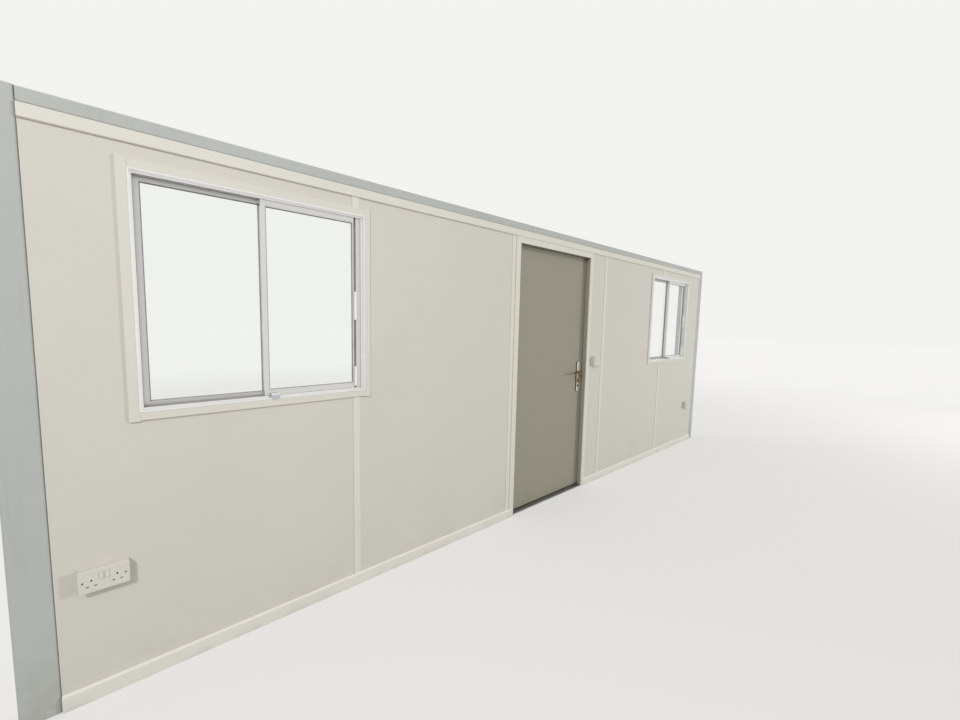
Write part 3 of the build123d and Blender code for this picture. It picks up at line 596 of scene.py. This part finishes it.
FINISH = {
    "frame_steel": painted(
        "frame_paint", OUTSIDE, 0.42, mottled=0.04, dusted=0.4, reach=0.4, wear=0.6,
        scratched=0.25, streaked=0.25),
    "insulation": mineral_wool(),
    "outer_steel": painted(
        "outer_paint", OUTSIDE, 0.40, mottled=0.04, dusted=0.5, reach=0.5, wear=0.5,
        scratched=0.3, streaked=0.35),
    "lining_board": painted(
        "lining_face", LINING, 0.42, peel=260.0, relief=0.12, mottled=0.025, dusted=0.14,
        reach=0.35),
    "trim_board": painted("trim_face", TRIM, 0.40, dusted=0.10, reach=0.25, **TRIM_PAINT),
    "skirting": painted(
        "skirting_face", SKIRTING, 0.36, dusted=0.22, reach=0.07, scratched=0.12, **TRIM_PAINT),
    "door_frame_steel": painted(
        "door_frame_paint", DOOR_FRAME, 0.42, wear=0.35, dusted=0.25, reach=0.2, mottled=0.03),
    "door_paint": painted(
        "door_paint", DOOR, 0.52, peel=320.0, relief=0.14, mottled=0.03, dusted=0.25, reach=0.3,
        wear=0.25, scratched=0.2),
    "threshold_metal": metal(
        "threshold_alloy", srgb(152, 151, 148), 0.52, brushed=(0.02, 1, 1), dusted=0.4, reach=0.1),
    "hinge_steel": metal(
        "hinge_zinc", srgb(168, 168, 166), 0.42, brushed=(1, 1, 1), grain=300.0, tarnish=0.2),
    "window_aluminium": metal(
        "window_alloy", srgb(232, 231, 229), 0.36, tarnish=0.02, dusted=0.1, lined=0.08,
        **WINDOW_ALLOY),
    "window_glass": window_glass(),
    "catch_plastic": painted(
        "catch_face", srgb(240, 239, 234), 0.30, peel=900.0, relief=0.08, mottled=0.02,
        dusted=0.06, foot_colour=srgb(176, 181, 188), foot_height=SILL_STOP_TOP),
    "switch_plastic": painted(
        "fitting_plastic", srgb(202, 199, 191), 0.30, peel=1200.0, relief=0.05, mottled=0.015,
        dusted=0.08, reach=0.7),
    # Lock plates: a painted reflection band, brown between two heights, and painted shade and grime
    # on their rims
    "handle_metal": handled(
        "plate_face", srgb(222, 217, 206), srgb(166, 154, 130), REFLECTION_HEIGHTS, PLATE_FACES,
        PLATE_RIM_LIP),
    # Cylinder and key plugs: brass darkened to near black, painted shade of the keyhole
    "cylinder_brass": metal("cylinder_face_painted_shade", srgb(64, 57, 42), 0.38, grain=800.0)}
# Frames and fixed lights use the sashes' aluminium in other shades: the frames paler, a painted
# highlight of sunlit flanges, and the fixed lights darker, painted shade on backlit bars
FRAME_ALLOY_PAINTED_LIGHT = metal(
    "frame_alloy_painted_light", srgb(249, 249, 248), 0.30, tarnish=0.02, dusted=0.12, lined=0.06,
    **WINDOW_ALLOY)
TRIM_FACE = painted(
    "window_trim_face", WINDOW_TRIM, 0.40, dusted=0.10, reach=0.25, **TRIM_PAINT)
FIXED_ALLOY_PAINTED_SHADE = metal(
    "fixed_alloy_painted_shade", srgb(216, 215, 213), 0.38, tarnish=0.03, dusted=0.1, lined=0.08,
    **WINDOW_ALLOY)
# Lever: bronze tone darkened, a painted reflection of the dark surroundings it mirrors
LEVER_PAINTED_DARK = metal(
    "lever_bronze_painted_dark", srgb(117, 104, 81), 0.34, brushed=(0.03, 1, 1), grain=1100.0, tarnish=0.2)
OWN_FINISH = {
    "window_left_frame": FRAME_ALLOY_PAINTED_LIGHT, "window_right_frame": FRAME_ALLOY_PAINTED_LIGHT,
    "window_left_fixed_light": FIXED_ALLOY_PAINTED_SHADE, "window_right_fixed_light": FIXED_ALLOY_PAINTED_SHADE,
    "window_left_trim": TRIM_FACE, "window_right_trim": TRIM_FACE, "lever_handle": LEVER_PAINTED_DARK}
RUBBER = soft("seal_rubber", srgb(38, 38, 36))
GASKET = soft("glazing_rubber", srgb(128, 126, 122))
PILE = soft("pile_strip", srgb(122, 120, 116), 0.9)
# Grey strip in the stiles' grooves: painted shade of the groove
GROOVE_SHADE = soft("groove_shade_lining", srgb(118, 117, 115), 0.8)
SCREW = metal("screw_zinc", srgb(170, 170, 168), 0.38, brushed=(1, 1, 1), grain=500.0)
DARK_SCREW = metal("screw_dark", srgb(112, 108, 100), 0.42, brushed=(1, 1, 1), grain=500.0)
# Near black: painted shade inside the socket holes and the lock plate's fixing hole
HOLE_SHADE = soft("shutter_hole_shade", srgb(30, 30, 30), 0.5)
WELD = painted("weld_paint", OUTSIDE, 0.42, dusted=0.5, reach=0.4), "outer_steel"
NAIL_FILL = painted(
    "nail_filler", shaded(TRIM, 0.80), 0.6, peel=900.0, relief=0.2, mottled=0.05,
    dusted=0.1), "trim_board"
CLOSER_FOAM = soft("closer_foam", srgb(64, 64, 62), 0.9)
SEALANT = painted(
    "sealant", srgb(196, 197, 192), 0.5, peel=500.0, relief=0.1, mottled=0.05, dusted=0.2,
    streaked=0.3), "outer_steel"

for part in frame["record"]["subparts"]:
    solid = frame["nodes"][part["node"]]
    solid.data.materials.clear()
    solid.data.materials.append(OWN_FINISH.get(part["node"], FINISH[part["material_slot"]]))


# Window fittings

def window_fittings(side):
    """Gaskets against both faces of each pane and pile strips between the fins and the lights.
    Their profiles give how far a point lies inside the border, and how far off the face."""
    pane_low, pane_high = node_span(f"window_{side}_glass")
    frame_low, frame_high = node_span(f"window_{side}_frame")
    section = np.array([
        (-0.4 * MM, 0.1 * MM), (GASKET_WIDTH, 0.1 * MM), (GASKET_WIDTH, -0.8 * MM),
        (0.7 * GASKET_WIDTH, -2.6 * MM), (0.35 * GASKET_WIDTH, -4.2 * MM),
        (-0.4 * MM, -PANE_TO_BEAD - 0.3 * MM)])
    brush = np.array([
        (FIN_HEIGHT - 2 * MM, -0.9 * MM), (FIN_HEIGHT + 0.9 * MM, -0.9 * MM),
        (FIN_HEIGHT + 1.1 * MM, -0.45 * MM), (FIN_HEIGHT + 0.9 * MM, -0.05 * MM),
        (FIN_HEIGHT - 2 * MM, -0.05 * MM)])
    clear = np.array([1, 0, 1]) * (FLANGE_OVERLAP + FRAME_WALL)
    pane_faces = {
        "fixed_light": (pane_high[1] - PANE_THICKNESS, pane_high[1]),
        "sash": (pane_low[1], pane_low[1] + PANE_THICKNESS)}
    gaskets, strips = [], []
    for light, (stiles, rails) in BORDERS.items():
        low, high = node_span(f"window_{side}_{light}")
        sight_low = low + [stiles[0], 0, rails[0]]
        sight_high = high - [stiles[1], 0, rails[1]]
        for face, outwards in zip(pane_faces[light], (1, -1)):
            gaskets.append(framed(sight_low, sight_high, section * [1, outwards] + [0, face]))
        room_face = pane_faces[light][0] - (LIGHT_DEPTH - PANE_THICKNESS) / 2
        strips.append(framed(frame_low + clear, frame_high - clear, brush + [0, room_face]))
    ring_piece(f"window_{side}_gaskets", gaskets, GASKET, loop=True)
    ring_piece(f"window_{side}_pile_strips", strips, PILE, loop=True)


def groove_shade_lining(side):
    """Grey channel that lines the groove down the sash's outer stile, behind its pulls, darker than
    the stile as painted shade in the groove: a U in plan carried up the stile."""
    low, high = node_span(f"window_{side}_sash")
    width, depth = STILE_GROOVE
    left = high[0] - BORDERS["sash"][0][1] + STILE_GROOVE_START
    face, back = low[1] + INSERT_SET_BACK, low[1] + depth + INSERT_LAP
    plan = np.array([
        (-INSERT_LAP, face), (INSERT_WALL, face), (INSERT_WALL, back - INSERT_FLOOR),
        (width - INSERT_WALL, back - INSERT_FLOOR), (width - INSERT_WALL, face),
        (width + INSERT_LAP, face), (width + INSERT_LAP, back), (-INSERT_LAP, back)])
    ends = np.array([[low[2] + INSERT_END_GAP], [high[2] - INSERT_END_GAP]])
    ring_piece(f"window_{side}_groove_shade_lining", places(left + plan[:, 0], plan[:, 1], ends),
               GROOVE_SHADE, caps=True)


for side in SIDES:
    window_fittings(side)
for side in SIDES:
    groove_shade_lining(side)


# Doorway

threshold_low, threshold_high = node_span("threshold")


def door_seal():
    """Half-round bulb on the frame's stop. Its profile (outwards, y) is carried up one jamb, over
    the head and down the other, and each corner of the path moves outwards with the point."""
    stop_y = leaf_low[1] - DOOR_GAP
    bulb = np.linspace(-np.pi / 2, np.pi / 2, 9)
    depth = leaf_low[1] - stop_y - SEAL_GAP
    outwards = np.concatenate([
        [SEAL_MIDDLE - SEAL_HALF_WIDTH, SEAL_MIDDLE + SEAL_HALF_WIDTH],
        SEAL_MIDDLE - SEAL_HALF_WIDTH * np.sin(bulb)])
    y = np.concatenate([[stop_y - SEAL_SUNK] * 2, stop_y + depth * np.cos(bulb)])
    left, right = threshold_low[0] - outwards, threshold_high[0] + outwards
    foot = np.full_like(outwards, threshold_high[2] + SEAL_FOOT_GAP)
    head = leaf_high[2] - DOOR_OVERLAP + outwards
    path = places(np.stack([left, left, right, right]), y, np.stack([foot, head, head, foot]))
    ring_piece("door_seal", path, RUBBER, caps=True)


def door_foot_brush():
    """Strip of bristles between the leaf's foot and the threshold."""
    low = (leaf_low[0] + BRUSH_END_GAP, leaf_low[1] + BRUSH_SET_BACK - BRUSH_THICKNESS / 2,
           threshold_high[2] + BRUSH_ABOVE_THRESHOLD)
    high = (leaf_high[0] - BRUSH_END_GAP, leaf_low[1] + BRUSH_SET_BACK + BRUSH_THICKNESS / 2,
            leaf_low[2] - BRUSH_BELOW_LEAF)
    low, high = np.array(low), np.array(high)
    ring_piece("door_foot_brush", blocks((low + high) / 2, high - low), RUBBER, "door", caps=True)


def screws(name, kind, centres, axis, slot, body="door", material=SCREW, turn=0.4):
    """Heads of screws of one kind."""
    ring_piece(name, headed(kind, centres, axis, turn), (material, slot), body, smooth=35)


def hinge_screws():
    """Countersunk screws through the plates of both halves of the hinges."""
    pin_low, pin_high = node_span("frame_hinges")
    knuckle_low, knuckle_high = node_span("leaf_hinges")
    reach, thickness = HINGE_PLATE
    for node, body, outwards, first, last in (
            ("frame_hinges", "wall", -1, pin_low[2], pin_high[2] - 2 * KNUCKLE_LENGTH),
            ("leaf_hinges", "door", 1, knuckle_low[2], knuckle_high[2] - KNUCKLE_LENGTH)):
        x = pin_low[0] + reach + outwards * HINGE_SCREW_REACH * reach
        foot = np.linspace(first, last, HINGE_COUNT)[:, None]
        z = (foot + KNUCKLE_LENGTH * HINGE_SCREW_PLACES).ravel()
        screws(f"{node}_screws", "hinge", places(x, leaf_high[1] + thickness, z), TO_OUTSIDE,
               "hinge_steel", body)


def lock_fittings():
    """Screws in the plates, key slots in the cylinder, the fixing hole below it as a ring round a
    near-black disc of painted shade, the forend on the leaf's edge with its latch, and the keep in
    the frame."""
    plate_low, plate_high = node_span("lock_plate_inner")
    cylinder_low, cylinder_high = node_span("lock_cylinder")
    middle_x = (plate_low[0] + plate_high[0]) / 2
    screw_z = np.array([plate_low[2] + PLATE_SCREW_INSET, plate_high[2] - PLATE_SCREW_INSET])
    for plate, y, axis in zip(("inner", "outer"), PLATE_FACES, (TO_ROOM, TO_OUTSIDE)):
        screws(f"lock_plate_{plate}_screws", "plate", places(middle_x, y, screw_z), axis,
               "handle_metal")
    plug_z = cylinder_high[2] - PLUG_BELOW_TOP
    plugs = [headed("key_plug", (middle_x, y, plug_z), axis)
             for y, axis in ((cylinder_low[1], TO_ROOM), (cylinder_high[1], TO_OUTSIDE))]
    ring_piece("cylinder_plugs", np.concatenate(plugs),
               (FINISH["cylinder_brass"], "cylinder_brass"), "door", smooth=35)

    hole = (middle_x, PLATE_FACES[0], cylinder_low[2] - FIXING_HOLE_DROP)
    ring = np.array([(2.0, 0.05), (1.7, 0.7), (1.1, 0.9), (0.5, 0.6), (0, 0.1)]) * MM
    ring += [FIXING_HOLE_RADIUS, 0]
    ring_piece("lock_plate_fixing_ring", turned(ring, hole, TO_ROOM, 40),
               (FINISH["handle_metal"], "handle_metal"), "door", loop=True, smooth=40)
    middle, rim = 0.01 * MM, FIXING_HOLE_RADIUS
    # A flat near-black disc: painted shade standing for the inside of the fixing hole
    hole_shade_disc = [(middle, HOLE_SHADE_RISE), (rim, HOLE_SHADE_RISE), (rim, -HOLE_SHADE_RISE), (middle, -HOLE_SHADE_RISE)]
    ring_piece("lock_plate_fixing_hole_shade", turned(hole_shade_disc, hole, TO_ROOM, 32), HOLE_SHADE, "door",
               caps=True, smooth=40)

    middle_y = (leaf_low[1] + leaf_high[1]) / 2
    edge = np.array([leaf_high[0], middle_y, cylinder_high[2] + FOREND_RISE])
    steel = (SCREW, "handle_metal")
    ring_piece("lock_forend", blocks(edge + [FOREND[0] / 2, 0, 0], FOREND), steel, "door",
               caps=True)
    screw_places = edge + places(FOREND[0], 0, np.array([-FOREND_SCREW_REACH, FOREND_SCREW_REACH]))
    screws("lock_forend_screws", "forend", screw_places, TO_RIGHT, "handle_metal")
    ring_piece("lock_latch", blocks(edge + [LATCH_PROUD, 0, LATCH_RISE], LATCH), steel, "door",
               caps=True)
    ring_piece("lock_keep", blocks(edge + [DOOR_GAP - KEEP[0] / 2, 0, 0], KEEP), steel, caps=True)


def threshold_screws():
    """Countersunk screws along the threshold's edge on the room's side."""
    end, edge = THRESHOLD_SCREW_INSET
    x = np.linspace(threshold_low[0] + end, threshold_high[0] - end, THRESHOLD_SCREWS)
    screws("threshold_screws", "threshold", places(x, threshold_low[1] + edge, threshold_high[2]),
           UP, "threshold_metal", "wall")


door_seal()
door_foot_brush()
hinge_screws()
lock_fittings()
threshold_screws()


# Switch and sockets

def fitting_screws(node, spacing):
    """Dark screw heads on the plate, level with its middle. Its face lies behind its rockers."""
    low, high = node_span(node)
    middle = (low + high) / 2
    x = middle[0] + np.array([-spacing, spacing]) / 2
    screws(f"{node}_screws", "fitting", places(x, low[1] + FITTING_SCREW_DEPTH, middle[2]),
           TO_ROOM, "handle_metal", "wall", DARK_SCREW, turn=0.9)


def shutters(side):
    """Shutters behind the earth hole and pin holes of both outlets, near black as painted shade."""
    low, high = node_span(f"socket_{side}")
    middle = (low + high) / 2
    y = low[1] + SHUTTER_DEPTH
    plates = []
    for outlet in (middle[0] - OUTLET_OFFSET, middle[0] + OUTLET_OFFSET):
        pins = np.array([outlet - PIN_OFFSET, outlet + PIN_OFFSET])
        plates.append(blocks((outlet, y, middle[2] + EARTH_RISE), EARTH_SHUTTER))
        plates.append(blocks(places(pins, y, middle[2] - PIN_DROP), PIN_SHUTTER))
    ring_piece(f"socket_{side}_shutters", np.concatenate(plates), HOLE_SHADE, caps=True)


for side in SIDES:
    fitting_screws(f"socket_{side}", SOCKET_SCREW_SPACING)
    shutters(side)
fitting_screws("light_switch", SWITCH_SCREW_SPACING)


# Nails through the trims, filled and painted over

def nails(trim, centres):
    """Low domed discs on the room side of a trim."""
    ring_piece(f"{trim}_nails", turned(NAIL_HEAD, centres, TO_ROOM, 12), NAIL_FILL, caps=True,
               smooth=50)


def window_nails(side):
    """Nails down the uprights and along the rails of a window's trim."""
    low, high = node_span(f"window_{side}_trim")
    frame_low, frame_high = node_span(f"window_{side}_frame")
    foot, head = low[2] + WINDOW_NAIL_END, high[2] - WINDOW_NAIL_END
    z = spaced(foot, head, UPRIGHT_NAIL_PITCH)
    x = spaced(frame_low[0] + RAIL_NAIL_END, frame_high[0] - RAIL_NAIL_END, RAIL_NAIL_PITCH)
    nails(f"window_{side}_trim", np.concatenate([
        places(frame_low[0] - WINDOW_NAIL_INSET, low[1], z),
        places(frame_high[0] + WINDOW_NAIL_INSET, low[1], z),
        places(x, low[1], foot), places(x, low[1], head)]))


def room_trim_nails():
    """Nails along the ceiling trim and up both uprights of the door trim."""
    low, high = node_span("ceiling_trim")
    x = spaced(low[0] + CEILING_NAIL_END, high[0] - CEILING_NAIL_END, CEILING_NAIL_PITCH)
    nails("ceiling_trim", places(x, low[1], high[2] - CEILING_NAIL_INSET))
    low, high = node_span("door_trim")
    z = spaced(low[2] + DOOR_NAIL_ENDS[0], high[2] - DOOR_NAIL_ENDS[1], DOOR_NAIL_PITCH)
    nails("door_trim", np.concatenate([
        places(x, low[1], z) for x in (low[0] + DOOR_NAIL_INSET, high[0] - DOOR_NAIL_INSET)]))


for side in SIDES:
    window_nails(side)
room_trim_nails()


# Outside: foam closers and sealant round the windows' flanges, welds round the sheets

def rib_line(side):
    """Outer line of a ribbed sheet in plan, as x and y: feet in the troughs, crests outside. The
    sheet has the ribs of the wall's even row that lie whole between its ends."""
    wall_low, wall_high = node_span("sole_plate")
    low, high = node_span(f"outer_sheet_{side}")
    pitch = (wall_high[0] - wall_low[0]) / RIB_COUNT
    middle = wall_low[0] + (np.arange(RIB_COUNT) + 0.5) * pitch
    starts, ends = middle - RIB_BASE / 2, middle + RIB_BASE / 2
    middle = middle[(starts > low[0] - RIB_SLACK) & (ends < high[0] + RIB_SLACK)]
    trough = high[1] - RIB_DEPTH
    across = np.array([-RIB_BASE, -RIB_CREST, RIB_CREST, RIB_BASE]) / 2
    x = (middle[:, None] + across).ravel()
    y = np.tile([trough, high[1], high[1], trough], len(middle))
    return np.concatenate([[low[0]], x, [high[0]]]), np.concatenate([[trough], y, [trough]])


def closers(side, x_range, z_range):
    """Foam in each trough behind a flange: a strip whose inner side follows the sheet's line and
    whose outer side is flat, clipped to the flange's ends."""
    line_x, line_y = rib_line(side)
    first, last = line_x[[0]], line_x[[-1]]
    edges = line_x[1:-1].reshape(-1, 4)
    x = np.stack([
        np.concatenate([first, edges[:, 2]]), np.concatenate([first, edges[:, 3]]),
        np.concatenate([edges[:, 0], last]), np.concatenate([edges[:, 1], last])], 1)
    x = x[(x[:, 3] > x_range[0] + CLOSER_SHORTEST) & (x[:, 0] < x_range[1] - CLOSER_SHORTEST)]
    x = np.clip(x, *x_range)
    outer = np.full_like(x, line_y.max() - CLOSER_SET_BACK)
    inner = np.minimum(np.interp(x, line_x, line_y), outer - CLOSER_THINNEST)
    foot, head = z_range
    corners = ((inner, foot), (outer, foot), (outer, head), (inner, head))
    return np.stack([places(x, y, z) for y, z in corners], 2)


def outer_finish(side):
    """Closers at the foot, head and both sides of a window opening, and sealant round its
    flange."""
    low, high = node_span(f"window_{side}_liner")
    left, right = low[0] + CLOSER_INSET, high[0] - CLOSER_INSET
    foot, head = low[2] + CLOSER_INSET, high[2] - CLOSER_INSET
    level = (low[0] + CLOSER_END_INSET, high[0] - CLOSER_END_INSET)
    upright = (foot + CLOSER_DEPTH + CLOSER_JOINT, head - CLOSER_DEPTH - CLOSER_JOINT)
    foam = [
        closers(side, level, (foot, foot + CLOSER_DEPTH)),
        closers(side, level, (head - CLOSER_DEPTH, head)),
        closers(side, (left, left + CLOSER_DEPTH), upright),
        closers(side, (right - CLOSER_DEPTH, right), upright)]
    ring_piece(f"window_{side}_closers", np.concatenate(foam), CLOSER_FOAM, caps=True)
    crest = high[1] - OUTER_FLANGE_THICKNESS
    width, height = FILLET
    t = np.linspace(0, np.pi / 2, 5)
    inwards = np.concatenate([[FILLET_LAP, FILLET_LAP], -width * np.sin(t)])
    y = crest + np.concatenate([[0.1 * MM, height], height * np.cos(t)])
    ring_piece(f"window_{side}_sealant", framed(low, high, np.stack([inwards, y], -1)), SEALANT,
               loop=True, smooth=50)


def sheet_welds(side):
    """Rippled beads along the foot and head of a sheet, following its ribs, and up both ends."""
    low, high = node_span(f"outer_sheet_{side}")
    line_x, line_y = rib_line(side)
    for end, z in (("foot", low[2] + WELD_INSET), ("head", high[2] - WELD_INSET)):
        ring_piece(f"weld_{side}_{end}", bead_along(places(line_x, line_y, z), EDGE_WELD, UP), WELD,
                   caps=True, smooth=60)
    z = np.array([low[2] + WELD_END_GAP, high[2] - WELD_END_GAP])
    for end, x in (("start", low[0] + WELD_INSET), ("end", high[0] - WELD_INSET)):
        ring_piece(f"weld_{side}_{end}", bead_along(places(x, line_y[0], z), END_WELD, TO_OUTSIDE),
                   WELD, caps=True, smooth=60)


for side in SIDES:
    outer_finish(side)
for side in SIDES:
    sheet_welds(side)


# Stage: floor, backdrop light and lamps

FLOOR = srgb(172, 171, 169)
FLOOR_REACH = 60.0
BACKDROP = srgb(243, 243, 241)
NEAR_GLOW, FAR_GLOW = 0.42, 0.665
GLOW_START, GLOW_END = 2.0, 12.0
EVEN_LIGHT = 0.62


def seen_directly(net):
    """1 for rays from the camera, off a gloss or through glass, 0 for light that falls on
    things."""
    path = net.add("ShaderNodeLightPath").outputs
    seen = net.math("MAXIMUM", path["Is Camera Ray"], path["Is Transmission Ray"])
    return net.math("MAXIMUM", seen, path["Is Glossy Ray"])


def stage_floor():
    """Wide pale floor. The camera, mirrors and panes see it paler than it lights the wall, most
    of all far off, where it meets the backdrop without an edge."""
    mesh = bpy.data.meshes.new("stage_floor")
    corners = np.array([(-1, -1, 0), (1, -1, 0), (1, 1, 0), (-1, 1, 0)]) * FLOOR_REACH
    mesh.from_pydata(corners.tolist(), [], [(0, 1, 2, 3)])
    material, net, shader, place = new_finish("stage_floor", Base_Color=FLOOR, Roughness=0.9)
    away = net.add("ShaderNodeVectorMath", {0: place}, operation="LENGTH").outputs["Value"]
    glow = net.remap(away, GLOW_START, GLOW_END, NEAR_GLOW, FAR_GLOW)
    shader.inputs["Emission Color"].default_value = BACKDROP
    net.feed(shader, Emission_Strength=net.math("MULTIPLY", seen_directly(net), glow))
    mesh.materials.append(material)
    floor = bpy.data.objects.new("stage_floor", mesh)
    bpy.context.scene.collection.objects.link(floor)


def backdrop_world():
    """Even pale light, with a paler backdrop for the camera, for mirrors and through glass."""
    world = bpy.data.worlds.new("studio")
    bpy.context.scene.world = world
    world.use_nodes = True
    world.node_tree.nodes.clear()
    net = Net(world.node_tree)
    light = net.add("ShaderNodeBackground", {"Color": (1, 1, 1, 1), "Strength": EVEN_LIGHT})
    sight = net.add("ShaderNodeBackground", {"Color": BACKDROP, "Strength": 1.0})
    inputs = {0: seen_directly(net), 1: light.outputs[0], 2: sight.outputs[0]}
    mixed = net.add("ShaderNodeMixShader", inputs)
    net.add("ShaderNodeOutputWorld", {"Surface": mixed.outputs[0]})


def lamp(name, place, target, size, power, spread=180.0, colour=(1, 1, 1)):
    """Soft rectangular lamp that no camera, mirror or pane sees. Its spread, in degrees, keeps it
    off the floor beside it."""
    data = bpy.data.lights.new(name, "AREA")
    data.shape = "RECTANGLE"
    data.size, data.size_y = size
    data.energy = power
    data.spread = math.radians(spread)
    data.color = colour
    light = bpy.data.objects.new(name, data)
    bpy.context.scene.collection.objects.link(light)
    light.location = place
    light.rotation_euler = (Vector(target) - Vector(place)).to_track_quat("-Z", "Y").to_euler()
    light.visible_camera = False
    light.visible_transmission = False
    light.visible_glossy = False


stage_floor()
backdrop_world()
lamp("room_left", (-5.6, -4.6, 5.0), (-1.6, 0, 1.1), (0.8, 0.8), 116, spread=120)
lamp("room_right", (9.0, -8.0, 2.6), (1.2, 0, 1.1), (1.2, 1.2), 173, spread=100)
lamp("outside", (-2.5, 5.0, 3.8), (0, 0, 1.0), (4.0, 2.5), 130, colour=(1.0, 0.98, 0.95))

# Camera, as the photograph was taken
CAMERA_PLACE = (-2.7025, -2.093, 1.482)
YAW, PITCH, ROLL = math.radians(42.028), math.radians(-5.279), math.radians(1.314)
FOCAL_PIXELS = 401.6
PHOTO_WIDTH = 960
SENSOR = 36.0


def photo_camera():
    """Camera turned by yaw from +Y to +X, pitch up and roll, written as its three axes."""
    ahead = Vector((math.sin(YAW) * math.cos(PITCH), math.cos(YAW) * math.cos(PITCH),
                    math.sin(PITCH)))
    level = Vector((math.cos(YAW), -math.sin(YAW), 0))
    upward = level.cross(ahead)
    across = level * math.cos(ROLL) + upward * math.sin(ROLL)
    overhead = -level * math.sin(ROLL) + upward * math.cos(ROLL)
    turn = Matrix((across, overhead, -ahead)).transposed().to_4x4()
    data = bpy.data.cameras.new("photo_camera")
    data.sensor_width = SENSOR
    data.lens = FOCAL_PIXELS / PHOTO_WIDTH * SENSOR
    data.clip_start = 0.05
    camera = bpy.data.objects.new("photo_camera", data)
    bpy.context.scene.collection.objects.link(camera)
    camera.matrix_world = Matrix.Translation(CAMERA_PLACE) @ turn
    bpy.context.scene.camera = camera


photo_camera()
bpy.context.scene.view_settings.view_transform = "Standard"

bpy.context.view_layer.update()
